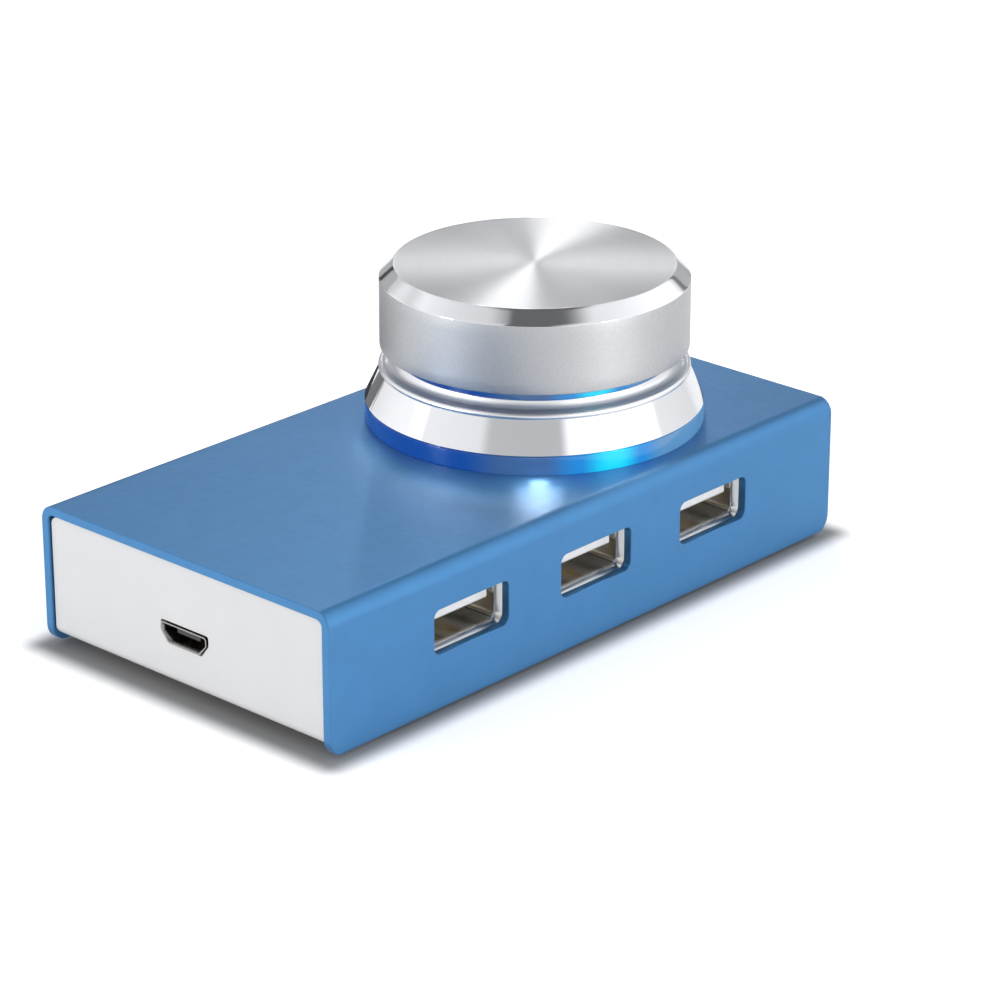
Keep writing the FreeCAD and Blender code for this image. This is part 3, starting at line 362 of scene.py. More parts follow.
class Nodes:
    """Short ways to add nodes to a tree."""

    def __init__(self, tree):
        self.tree = tree

    def add(self, kind, links=None, **attributes):
        """New node. Attributes that name an input set it, and links join inputs to outputs."""
        node = self.tree.nodes.new(kind)
        for name, value in attributes.items():
            label = name.replace("_", " ")
            if label in node.inputs:
                node.inputs[label].default_value = value
            else:
                setattr(node, name, value)
        for name, output in (links or {}).items():
            self.tree.links.new(output, node.inputs[name])
        return node

    def math(self, operation, a, b=0.0):
        """One Math node on two outputs or numbers."""
        node = self.add("ShaderNodeMath", operation=operation)
        for socket, value in zip(node.inputs, (a, b)):
            if isinstance(value, bpy.types.NodeSocket):
                self.tree.links.new(value, socket)
            else:
                socket.default_value = value
        return node.outputs[0]

    def spread(self, value, low, high, start=0.3, end=0.7, steps="LINEAR"):
        """Value from start..end to low..high."""
        node = self.add("ShaderNodeMapRange", {"Value": value}, interpolation_type=steps,
                        From_Min=start, From_Max=end, To_Min=low, To_Max=high)
        return node.outputs["Result"]

    def length(self, x, y):
        """Square root of x squared and y squared."""
        squares = [self.math("MULTIPLY", value, value) for value in (x, y)]
        return self.math("SQRT", self.math("ADD", *squares))

    def between(self, value, low, high, soft):
        """1 where the value lies between low and high, falling to 0 over soft on both sides."""
        up = self.spread(value, 0, 1, low - soft, low + soft, "SMOOTHSTEP")
        down = self.spread(value, 1, 0, high - soft, high + soft, "SMOOTHSTEP")
        return self.math("MULTIPLY", up, down)


class Finish(Nodes):
    """A node material with a Principled shader, and short ways to add its texture nodes."""

    def __init__(self, name, base, metallic=0.0, roughness=0.5, **sockets):
        self.material = bpy.data.materials.new(name)
        self.material.use_nodes = True
        super().__init__(self.material.node_tree)
        self.shader = self.tree.nodes["Principled BSDF"]
        sockets.update(Base_Color=(*base, 1), Metallic=metallic, Roughness=roughness)
        for socket, value in sockets.items():
            self.shader.inputs[socket.replace("_", " ")].default_value = value
        self.base, self.roughness = base, roughness
        self.where = self.add("ShaderNodeTexCoord").outputs["Object"]

    def noise(self, scale, detail=3.0, stretch=None, roughness=0.5):
        """Noise in object space, with features about 1 / scale metres wide."""
        where = self.where
        if stretch:
            where = self.add("ShaderNodeMapping", {"Vector": where}, Scale=stretch).outputs[0]
        return self.add("ShaderNodeTexNoise", {"Vector": where}, Scale=scale, Detail=detail,
                        Roughness=roughness).outputs["Fac"]

    def vary_colour(self, value, low=0.96, high=1.04, start=0.3, end=0.7):
        """Base colour times a factor that follows the value."""
        factor = self.spread(value, low, high, start, end)
        mix = self.add("ShaderNodeVectorMath", {"Scale": factor}, operation="SCALE")
        mix.inputs[0].default_value = self.base
        self.link(mix.outputs[0], "Base Color")

    def vary_roughness(self, value, swing):
        self.link(self.spread(value, self.roughness - swing, self.roughness + swing), "Roughness")

    def bump(self, height, strength, distance):
        node = self.add("ShaderNodeBump", {"Height": height}, Strength=strength, Distance=distance)
        self.link(node.outputs[0], "Normal")

    def link(self, output, socket):
        self.tree.links.new(output, self.shader.inputs[socket])

    def round_knob(self):
        """Distance from the knob's axis, angle round it in radians, and height, as node outputs."""
        centred = self.add("ShaderNodeVectorMath", {0: self.where}, operation="SUBTRACT")
        centred.inputs[1].default_value = (*AXIS, 0)
        split = self.add("ShaderNodeSeparateXYZ", {"Vector": centred.outputs[0]})
        x, y = split.outputs["X"], split.outputs["Y"]
        return self.length(x, y), self.math("ARCTAN2", y, x), split.outputs["Z"]

    def rings(self, reach, scale):
        """Noise that changes only with the distance from the axis, as turning marks do."""
        line = self.add("ShaderNodeCombineXYZ", {"X": reach})
        return self.add("ShaderNodeTexNoise", {"Vector": line.outputs[0]}, Scale=scale,
                        Detail=2.0).outputs["Fac"]


def grained(name, base, metallic, roughness, height, tint=None, gloss=None, stretch=None, rough=0.5):
    """Finish of up to three noises. height is (scale, detail, strength, distance) of the grain that
    stands up, tint is (scale, detail, low, high) of the colour and gloss (scale, detail, swing)."""
    made = Finish(name, base, metallic, roughness)
    if tint:
        made.vary_colour(made.noise(*tint[:2], roughness=rough), *tint[2:])
    if gloss:
        made.vary_roughness(made.noise(*gloss[:2]), gloss[2])
    made.bump(made.noise(*height[:2], stretch, rough), *height[2:])
    return made.material


def satin_blue(finish):
    """Dyed anodised aluminium: a fine blasted grain under an even satin."""
    return grained("blue_anodised", finish.cover, 0.75, finish.cover_roughness,
                   (6500, 2, 0.10, 0.02 * MM), (260, 3, 0.975, 1.025), (900, 3, 0.03))


def white_paint(finish):
    """Matt powder paint with a faint orange peel."""
    return grained("white_paint", finish.plate, 0.0, 0.48,
                   (1700, 3, 0.12, 0.03 * MM), (180, 3, 0.985, 1.01))


def blasted_side(finish):
    """Bead-blasted aluminium: small glints in an even grey, which is the bright metal painted darker as
    painted shade.
    """
    base = shaded(finish.metal, finish.blasted_painted_shade)
    return grained("blasted_side", base, 1.0, finish.blasted_roughness,
                   (4200, 2, 0.32, 0.03 * MM), (4200, 2, 0.93, 1.05), (2600, 2, 0.06), rough=0.6)


def nickel(name="nickel_plate", shade=1.0):
    """Bright nickel plate on folded steel, with faint lines along the fold. A shade below 1 makes a darker
    copy: painted shade.
    """
    return grained(name, shaded((0.70, 0.685, 0.66), shade), 1.0, 0.2, (900, 3, 0.05, 0.02 * MM),
                   gloss=(500, 4, 0.06), stretch=(1, 6, 1))


def rubber():
    """Matt rubber with a fine moulded grain."""
    return grained("foot_rubber", (0.035, 0.035, 0.038), 0.0, 0.85, (3200, 3, 0.3, 0.04 * MM),
                   (700, 3, 0.85, 1.2))


def plain_finish(name, red, green, blue, metallic, roughness, grain):
    """Finish of a small inner piece: its colour with a grain that changes colour, gloss and height."""
    return grained(name, (red, green, blue), metallic, roughness, (grain, 3, 0.12, 0.02 * MM),
                   (grain, 3, 0.95, 1.05), (grain, 3, 0.04))


def shaded(tint, shade):
    """Colour times a shade; below 1 it is a darker copy of the colour, a painted shade."""
    return tuple(shade * c for c in tint)


def spun_top(finish):
    """Face that was turned on a lathe: the grooves run round the axis, so the gloss spreads outwards."""
    # Colour: the bright metal times the spun shade, a painted shade
    made = Finish("spun_top", shaded(finish.metal, finish.spun_painted_shade), 1.0, finish.spun_roughness,
                  Anisotropic=1.0, Anisotropic_Rotation=0.25)
    reach, _, _ = made.round_knob()
    made.vary_colour(made.rings(reach, 2600), 0.985, 1.015)
    made.vary_roughness(made.rings(reach, 1500), 0.025)
    made.link(made.add("ShaderNodeTangent", direction_type="RADIAL", axis="Z").outputs[0], "Tangent")
    made.bump(made.rings(reach, 5200), 0.05, 0.01 * MM)
    return made.material


def polished(finish, name="polished_metal", roughness=0.07):
    """Diamond-cut or polished aluminium with the faintest turning marks."""
    made = Finish(name, finish.metal, 1.0, roughness)
    reach, _, height = made.round_knob()
    marks = made.rings(made.math("ADD", reach, height), 3800)
    made.vary_roughness(marks, 0.015)
    made.bump(marks, 0.03, 0.008 * MM)
    return made.material


def turned_inside(finish):
    """Plain turned aluminium inside the cap, its colour the bright metal's times 0.8: painted shade in the
    recess.
    """
    made = Finish("turned_inside", shaded(finish.metal, 0.8), 1.0, 0.4)
    reach, _, height = made.round_knob()
    made.bump(made.rings(made.math("ADD", reach, height), 2400), 0.15, 0.02 * MM)
    return made.material


# Share of the turn, and the ring's colour there: a painted glow, bright in front of a lamp inside, and a
# painted reflection of the room where it is pale
RING_STOPS = ((0.0, "dark"), (0.045, "dark"), (0.09, "middle"), (0.125, "middle"), (0.157, "azure"),
              (0.186, "bright"), (0.197, "bright"), (0.222, "azure"), (0.25, "pale"), (0.36, "pale"),
              (0.5, "dark"), (0.64, "bright"), (0.68, "bright"), (0.76, "dark"))


def lit_ring(finish):
    """Clear blue ring, lit from inside. Its glow is its own light, but the glow and the base colour follow
    a pattern painted round the axis: brightest in front of a lamp, darkest on the side away from it, and
    pale where a reflection of the room is painted in, so the base colour holds a painted glow and a painted
    reflection.
    """
    made = Finish("lit_ring", finish.ring_dark, 0.0, 0.16, IOR=1.49, Coat_Weight=0.3,
                  Emission_Strength=0.5)
    _, angle, _ = made.round_knob()
    ramp = made.add("ShaderNodeValToRGB", {"Fac": made.spread(angle, 0, 1, -math.pi, math.pi)})
    elements = ramp.color_ramp.elements
    while len(elements) < len(RING_STOPS):
        elements.new(0.5)
    for element, (place, tint) in zip(elements, RING_STOPS):
        element.position = place
        element.color = (*getattr(finish, "ring_" + tint), 1)
    ramp.color_ramp.interpolation = "EASE"
    # Base colour: the same painted glow and painted reflection, at 0.55 of the ramp
    body = made.add("ShaderNodeVectorMath", {0: ramp.outputs["Color"]}, operation="SCALE", Scale=0.55)
    made.link(body.outputs[0], "Base Color")
    made.link(ramp.outputs["Color"], "Emission Color")
    made.bump(made.noise(1500, 2), 0.03, 0.01 * MM)
    return made.material


def board_finish(name, base):
    """Solder mask over copper tracks: the tracks stand up a little and look paler."""
    made = Finish(name, base, 0.0, 0.35, Coat_Weight=0.4)
    tracks = made.add("ShaderNodeTexBrick", {"Vector": made.where}, Scale=220.0, Mortar_Size=0.03)
    made.vary_colour(tracks.outputs["Fac"], 0.8, 1.5)
    made.bump(tracks.outputs["Fac"], 0.2, 0.03 * MM)
    return made.material


# Inner pieces' colour, metallic share, roughness and grain
INNER = {
    "zinc_screws": (0.62, 0.62, 0.60, 1.0, 0.30, 1400),
    "chip_black": (0.025, 0.025, 0.028, 0.0, 0.55, 2500),
    "tinned_leads": (0.75, 0.76, 0.77, 1.0, 0.25, 2200),
    "bare_aluminium": (0.78, 0.79, 0.80, 1.0, 0.3, 1800),
    "white_plastic": (0.82, 0.82, 0.80, 0.0, 0.38, 1300),
    "black_plastic": (0.045, 0.045, 0.048, 0.0, 0.42, 1600),
    "gold_contacts": (0.83, 0.60, 0.25, 1.0, 0.22, 1900),
    "rotor_plastic": (0.78, 0.75, 0.68, 0.0, 0.45, 1500),
    "lamp_lens": (0.72, 0.84, 0.95, 0.0, 0.12, 1200)}


# Operators

class PieceOperator:
    """What the operators of the pieces share."""

    def place(self, piece, body, slot, *nodes):
        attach(piece, body)
        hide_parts(*nodes)


FLAT_MARGIN = 0.15 * MM  # between a round edge and the cells of the windows and the hole
RINGS = (0, 0.35, 0.7, 0.97, 1)  # rings of quads from a cell's rim to its hole


class VOLUMEKNOB_OT_cover(PieceOperator, bpy.types.Operator):
    """Make the blue cover: a channel with three socket windows"""
    bl_idname = "volume_knob.cover"
    bl_label = "Cover"

    def execute(self, context):
        settings = context.scene.volume_knob
        s = settings.cover
        skin = Skin()
        outer, inner, wall_rows, top_rows = self.paths(s)
        xs, cells = self.columns(s)
        toward = unit(inner - outer)

        def sheet(path, keep):
            """The path carried along X, drawn in at the skirts' round end corners."""
            reach = self.reach(path[:, 1], s)
            x = xs[None, :] * ((reach - s.burr) / HALF_LENGTH)[:, None]
            skin.sheet(np.stack(np.broadcast_arrays(x, path[:, :1], path[:, 1:]), -1), 0, keep)

        keep = np.ones((len(outer) - 1, len(xs) - 1), bool)
        keep[wall_rows[0]:wall_rows[1], cells[0][0]:cells[-1][1]] = False
        keep[top_rows[0]:top_rows[1], cells[-1][0]:cells[-1][1]] = False
        sheet(outer, keep)
        sheet(inner, keep)
        shrunk = xs * (HALF_LENGTH - s.burr) / HALF_LENGTH
        self.windows(skin, s, outer[wall_rows[0]:wall_rows[1] + 1, 1], shrunk, cells)
        self.bushing_hole(skin, s, outer[top_rows[0]:top_rows[1] + 1, 0], shrunk, cells[-1])
        for side in (-1, 1):
            self.end_face(skin, s, outer, inner, toward, side)
        for path_a, path_b in ((outer[0], inner[0]), (outer[-1], inner[-1])):
            x = xs * (self.reach(path_a[1], s) - s.burr) / HALF_LENGTH
            skin.sheet(np.stack([np.stack(np.broadcast_arrays(x, *p), -1) for p in (path_a, path_b)]))
        piece = skin.build("blue_cover", [satin_blue(settings.finish)])
        self.place(piece, "housing", "blue_anodised", "housing_cover")
        return {"FINISHED"}

    def paths(self, s):
        """Outer and inner path (y, z) of the section, point for point: up one wall, round the edge,
        across the top, and down the other wall. Also the row ranges of the window wall and the top."""
        half_width, bottom, top = COVER[1].y, COVER[0].z, COVER[1].z
        turn = np.linspace(0, math.pi / 2, 5)
        near, rise = 1 - np.sin(turn), 1 - np.cos(turn)
        half = s.skirt_edge / 2
        lip_out = np.stack([s.skirt_edge * near, bottom + s.skirt_edge * rise], 1)
        lip_in = np.stack([s.wall - half * near, bottom + half * rise], 1)
        corner_rows = np.linspace(bottom + s.skirt_edge, bottom + s.skirt_corner, 9)[1:]
        low, high = bottom + s.skirt_corner, top - s.edge - FLAT_MARGIN
        window_rows = stretched(rim_fractions(s.window_corner / s.window_height), low, high)[1:]
        rows = np.concatenate([corner_rows, window_rows, [top - s.edge]])
        walls = [np.stack([np.full_like(rows, y), rows], 1) for y in (0, s.wall)]
        turn = np.linspace(0, math.pi / 2, 13)[1:]
        edges = [np.stack([s.edge - r * np.cos(turn), top - s.edge + r * np.sin(turn)], 1)
                 for r in (s.edge, s.edge - s.wall)]
        sides = [np.concatenate(parts) - (half_width, 0)
                 for parts in ((lip_out, walls[0], edges[0]), (lip_in, walls[1], edges[1]))]
        cell = 1.5 * s.bushing_hole
        inset = half_width - s.edge - FLAT_MARGIN
        cell_rows = stretched(rim_fractions(0.5, 8), AXIS[1] - cell, AXIS[1] + cell)
        across = np.concatenate([[-inset], cell_rows, [inset]])
        outer, inner = (np.concatenate([side, np.stack([across, np.full_like(across, z)], 1),
                                        side[::-1] * (-1, 1)])
                        for side, z in zip(sides, (top, top - s.wall)))
        wall_row = len(lip_out) + len(corner_rows) - 1
        top_row = len(sides[0]) + 1
        return (outer, inner, (wall_row, wall_row + len(window_rows)),
                (top_row, top_row + len(cell_rows) - 1))

    def columns(self, s):
        """Places along X, and the column ranges of the cells round the three windows."""
        middles = [(low.x + high.x) / 2 for low, high in SOCKETS]
        half = (middles[1] - middles[0]) / 2
        fractions = rim_fractions(s.window_corner / s.window_width)
        inner = [stretched(fractions, middle - half, middle + half)[:-1] for middle in middles]
        xs = np.concatenate([[COVER[0].x], *inner, [middles[-1] + half, COVER[1].x]])
        count = len(inner[0])
        return xs, [(1 + count * cell, 1 + count * (cell + 1)) for cell in range(len(middles))]

    def reach(self, z, s):
        """Half length of the cover at height z: the end corners of the skirts are quarter circles."""
        below = np.clip(COVER[0].z + s.skirt_corner - z, 0, s.skirt_corner)
        return HALF_LENGTH - s.skirt_corner + np.sqrt(s.skirt_corner ** 2 - below ** 2)

    def windows(self, skin, s, zs, xs, cells):
        """Wall round each window, in rings from the cell's rim to the hole's rim, and the hole's side."""
        outside, inside = COVER[0].y, COVER[0].y + s.wall
        for (first, last), (low, high) in zip(cells, SOCKETS):
            us = xs[first:last + 1]
            hole = rim(refitted(us, (low.x + high.x) / 2, s.window_width),
                       refitted(zs, s.window_middle, s.window_height))
            self.holed(skin, s, rim(us, zs), soften(hole, s.window_corner), outside, inside, 1)

    def bushing_hole(self, skin, s, ys, xs, cell):
        """Top round the bushing's hole, as the windows' wall."""
        us = xs[cell[0]:cell[1] + 1]
        place = rim(np.linspace(-1, 1, len(us)), np.linspace(-1, 1, len(ys)))
        angle = np.arctan2(place[:, 1], place[:, 0])
        hole = AXIS + s.bushing_hole * np.stack([np.cos(angle), np.sin(angle)], 1)
        self.holed(skin, s, rim(us, ys), hole, COVER[1].z, COVER[1].z - s.wall, 2)

    def holed(self, skin, s, around, hole, outside, inside, axis):
        """Flat wall of both faces between two loops, joined through the hole with broken edges. The
        faces lie at the depths outside and inside along the axis."""
        broken = hole + unit(hole - hole.mean(0)) * s.burr
        sign = np.sign(inside - outside)
        for face, into in ((outside, sign), (inside, -sign)):
            skin.between(*[upright(around + (broken - around) * t, axis, face) for t in RINGS],
                         upright(hole, axis, face + into * s.burr))
        skin.between(upright(hole, axis, outside + sign * s.burr),
                     upright(hole, axis, inside - sign * s.burr))

    def end_face(self, skin, s, outer, inner, toward, side):
        """Cut end of the cover, with both its edges broken."""
        loops = []
        for path, drop in ((outer, s.burr), (outer + toward * s.burr, 0),
                           (inner - toward * s.burr, 0), (inner, s.burr)):
            x = side * (self.reach(path[:, 1], s) - drop)
            loops.append(np.stack([x, path[:, 0], path[:, 1]], 1))
        skin.sheet(np.stack(loops))
        for end in (0, -1):
            skin.sheet(np.stack([[loops[0][end], loops[1][end]], [loops[3][end], loops[2][end]]]))


class VOLUMEKNOB_OT_cap(PieceOperator, bpy.types.Operator):
    """Make the knob's cap: spun top, polished chamfer and blasted side"""
    bl_idname = "volume_knob.cap"
    bl_label = "Knob cap"

    def execute(self, context):
        settings = context.scene.volume_knob
        s, turns = settings.knob, settings.stage.turns
        radius, hub_bottom, top = (CAP[1].x - CAP[0].x) / 2, CAP[0].z, CAP[1].z
        roof, bottom = top - s.top, hub_bottom + s.hub_drop
        flat, crown = radius - s.chamfer_width, top - s.chamfer_height
        e = s.edge
        outline = rounded([
            (flat, top, e), (radius, crown, e), (radius, bottom, 2 * e), (radius - s.wall, bottom, 2 * e),
            (radius - s.wall, roof, s.wall / 2), (s.hub_radius, roof, s.wall / 2),
            (s.hub_radius, hub_bottom, e), (s.hub_bore, hub_bottom, e), (s.hub_bore, roof, e)], 4)
        edge_steps = 5
        skin = Skin()
        face = with_rows(np.array([(0, top), *outline[:1]]), 0.8 * MM)
        skin.sheet(turned(face, turns), 0)
        skin.sheet(turned(outline[:edge_steps], turns), 1)
        skin.sheet(turned(with_rows(outline[edge_steps - 1:2 * edge_steps], 0.4 * MM), turns), 1)
        skin.sheet(turned(with_rows(outline[2 * edge_steps - 1:3 * edge_steps], 1.5 * MM), turns), 2)
        skin.sheet(turned(np.concatenate([outline[3 * edge_steps - 1:], [(0, roof)]]), turns), 3)
        finish = settings.finish
        piece = skin.build("knob_spun_cap", [spun_top(finish), polished(finish, "polished_chamfer"),
                                             blasted_side(finish), turned_inside(finish)])
        self.place(piece, "knob", "knob_aluminium", "knob_cap")
        return {"FINISHED"}


class VOLUMEKNOB_OT_trim(PieceOperator, bpy.types.Operator):
    """Make the polished trim ring: a cone, a bead and a cove"""
    bl_idname = "volume_knob.trim"
    bl_label = "Trim ring"

    def execute(self, context):
        settings = context.scene.volume_knob
        s, turns = settings.trim, settings.stage.turns
        radius, bottom, top = (TRIM[1].x - TRIM[0].x) / 2, TRIM[0].z, TRIM[1].z
        edge, cone_top = radius - s.cone_inset, bottom + s.cone_height
        lip, bead_top = edge - s.bead, cone_top + 2 * s.bead
        neck = s.bore + s.cove_top
        foot = 0.25 * MM
        cone = rounded([(radius - foot, bottom, 0), (radius, bottom + foot, 0), (edge, cone_top, 0)])
        bead = arc((edge, cone_top), (edge + s.bead_bulge, cone_top + s.bead), (lip, bead_top), 12)
        cove = arc((lip, bead_top), ((lip + neck) / 2 - s.cove_sag, (bead_top + top) / 2 - s.cove_sag),
                   (neck, top), 14)
        land = np.array([(neck, top), (s.bore, top), (s.bore, bottom), (radius - foot, bottom)])
        skin = Skin()
        for outline, slot in ((with_rows(cone, 0.5 * MM), 0), (bead, 1), (cove, 1), (land, 1)):
            skin.sheet(turned(outline, turns), slot)
        piece = skin.build("polished_trim_ring", [polished(settings.finish, "polished_trim", 0.06),
                                                  polished(settings.finish, "satin_cove", 0.34)], 24)
        self.place(piece, "housing", "polished_trim", "trim_ring")
        return {"FINISHED"}


class VOLUMEKNOB_OT_light(PieceOperator, bpy.types.Operator):
    """Make the lit ring and its collar"""
    bl_idname = "volume_knob.light"
    bl_label = "Lit ring"

    def execute(self, context):
        settings = context.scene.volume_knob
        s, turns = settings.trim, settings.stage.turns
        radius, bottom, top = (GUIDE[1].x - GUIDE[0].x) / 2, GUIDE[0].z, GUIDE[1].z
        shoulder = TRIM[0].z
        foot_edge, shoulder_edge, collar_edge = 0.1 * MM, 0.05 * MM, 0.3 * MM
        outline = rounded([
            (s.guide_bore, bottom, 0), (radius, bottom, foot_edge), (radius, shoulder, shoulder_edge),
            (s.collar, shoulder, 0), (s.collar, top, collar_edge), (s.guide_bore, top, collar_edge)])
        skin = Skin()
        skin.sheet(turned(with_rows(np.concatenate([outline, outline[:1]]), 1.0 * MM), turns))
        piece = skin.build("lit_blue_ring", [lit_ring(settings.finish)])
        self.place(piece, "housing", "lit_guide", "light_guide")
        return {"FINISHED"}


class VOLUMEKNOB_OT_sockets(PieceOperator, bpy.types.Operator):
    """Make the folded shells of the three large sockets"""
    bl_idname = "volume_knob.sockets"
    bl_label = "Sockets"

    def execute(self, context):
        settings = context.scene.volume_knob
        s = settings.socket
        metal = nickel()
        for number, (low, high) in enumerate(SOCKETS, 1):
            middle = (low.x + high.x) / 2, settings.cover.window_middle

            def loop(grow, y):
                """Rounded rectangle of the opening, grown on all sides, at depth y."""
                half_w, half_h = s.width / 2 + grow, s.height / 2 + grow
                corner = s.corner + max(grow, 0)
                flat = rounded([(middle[0] + a * half_w, middle[1] + b * half_h, corner)
                                for a, b in ((-1, -1), (1, -1), (1, 1), (-1, 1))])
                return upright(flat, 1, y)

            skin = Skin()
            lips = lip_steps(s.flare, low.y, s.flare_depth, 7)
            outside = [loop(grow + s.sheet, y) for grow, y in lips[::-1]]
            inside = [loop(grow, y) for grow, y in lips]
            back, wall = loop(s.sheet, high.y), loop(0, high.y - s.sheet)
            skin.between(back, *outside, *inside, wall)
            skin.lid(back)
            skin.lid(wall)
            piece = skin.build("socket_shell_%d" % number, [metal])
            self.place(piece, "housing", "nickel_steel", "port_shell_%d" % number)
        return {"FINISHED"}


class VOLUMEKNOB_OT_inlet(PieceOperator, bpy.types.Operator):
    """Make the small inlet's shell with its flared lip"""
    bl_idname = "volume_knob.inlet"
    bl_label = "Inlet"

    def execute(self, context):
        settings = context.scene.volume_knob
        s = settings.socket
        mouth, back = INLET[0].x, INLET[1].x
        bottom = INLET[0].z + s.inlet_flare

        def loop(grow, x):
            """Outline with upright upper sides that draw in to the narrow bottom, grown on all sides."""
            top_half, bottom_half = s.inlet_top / 2 + grow, s.inlet_bottom / 2 + grow
            low, high = bottom - grow, bottom + s.inlet_height + grow
            knee = high - s.inlet_knee * (high - low)
            flat = rounded([(y, z, s.inlet_corner + grow / 2) for y, z in (
                (-bottom_half, low), (bottom_half, low), (top_half, knee), (top_half, high),
                (-top_half, high), (-top_half, knee))])
            return upright(flat, 0, x)

        lips = lip_steps(s.inlet_flare, mouth, s.inlet_flare_depth, 6)
        skin = Skin()
        skin.between(loop(0, back), *[loop(grow, x) for grow, x in lips[::-1]],
                     *[loop(grow - s.inlet_sheet, x) for grow, x in lips],
                     loop(-s.inlet_sheet, back), loop(0, back))
        # Painted shade: the inlet's nickel is the sockets' nickel colour at 0.55
        piece = skin.build("inlet_shell_lip", [nickel("nickel_painted_shade", 0.55)])
        self.place(piece, "housing", "nickel_steel", "inlet_shell")
        return {"FINISHED"}


class VOLUMEKNOB_OT_feet(PieceOperator, bpy.types.Operator):
    """Make the four rubber feet"""
    bl_idname = "volume_knob.feet"
    bl_label = "Feet"

    def execute(self, context):
        settings = context.scene.volume_knob
        low, high = FEET
        radius, edge = 4.0 * MM, 0.4 * MM
        outline = rounded([(0, low.z, 0), (radius, low.z, edge), (radius, high.z, 0), (0, high.z, 0)])
        skin = Skin()
        for x in (low.x + radius, high.x - radius):
            for y in (low.y + radius, high.y - radius):
                skin.sheet(turned(outline, 64, (x, y)))
        piece = skin.build("rubber_foot_pads", [rubber()])
        self.place(piece, "housing", "foot_rubber", "rubber_feet")
        return {"FINISHED"}


class VOLUMEKNOB_OT_inner(PieceOperator, bpy.types.Operator):
    """Give the tray, the boards and all inner pieces their finishes"""
    bl_idname = "volume_knob.inner"
    bl_label = "Tray and inner pieces"

    def execute(self, context):
        finish = context.scene.volume_knob.finish
        made = {name: plain_finish(name, *values) for name, values in INNER.items()}
        made["white_paint"] = white_paint(finish)
        made["circuit_board"] = board_finish("circuit_board", (0.02, 0.14, 0.07))
        made["nickel_steel"] = nickel()
        for part in frame["record"]["subparts"]:
            node = frame["nodes"][part["node"]]
            if node.hide_render:
                continue
            if part["material_slot"] not in made:
                raise RuntimeError("no finish for %s" % part["material_slot"])
            node.data.materials.clear()
            node.data.materials.append(made[part["material_slot"]])
        return {"FINISHED"}


# Softboxes: azimuth from the camera's and elevation in degrees, distance, width, height, brightness
LAMPS = {
    "back_lamp": (-173.5, 50, 0.7, 0.11, 0.12, 11.5),
    "low_back_lamp": (179.4, 19.25, 1.2, 0.04, 0.1, 10.5),
    "right_strip": (54, 6, 0.9, 0.20, 0.16, 27.0),
    "left_strip": (-66, 6, 0.9, 0.17, 0.16, 30.0)}

# Cards: azimuth from the camera's, distance, width, height, shade
CARDS = {
    "right_grey_card": (156, 0.5, 0.34, 0.2, 0.45),
    "right_dark_card": (141, 0.45, 0.03, 0.25, 0.2),
    "left_grey_card": (-154, 0.5, 0.34, 0.2, 0.42),
    "left_dark_card": (-152, 0.45, 0.035, 0.25, 0.05),
    "low_left_card": (-136, 0.09, 0.026, 0.03, 0.25),
    "left_floor_card": (-150, 0.07, 0.14, 0.01, 0.05)}

# The lit ring's glow: azimuth, height over the cover and width in millimetres, power in watts
GLOW = ((1, 0.8, 2.8, 0.00004), (1, 2.3, 6, 0.00013), (1, 5, 5, 0.00017), (180, 2.1, 3, 0.00016),
        (-65, 4, 15, 0.00007), (-32, 4, 15, 0.00018), (1, 4, 15, 0.00017), (34, 4, 15, 0.00016))

# Room's pale panels: azimuth from and to, elevation from and to, softness, brightness
PANELS = ((22, 138, -10, 66, 5, 0.76), (-138, -38, 36, 70, 5, 0.62), (-136, -36, -10, 34, 5, 0.32),
          (-100, -82, -10, 30, 1.5, 0.2))


def heading(azimuth, elevation=0.0):
    """Unit vector towards an azimuth, counted from the camera's to the right, and an elevation."""
    a = bpy.context.scene.volume_knob.stage.azimuth + azimuth
    return Vector((math.sin(a) * math.cos(elevation), -math.cos(a) * math.cos(elevation),
                   math.sin(elevation)))


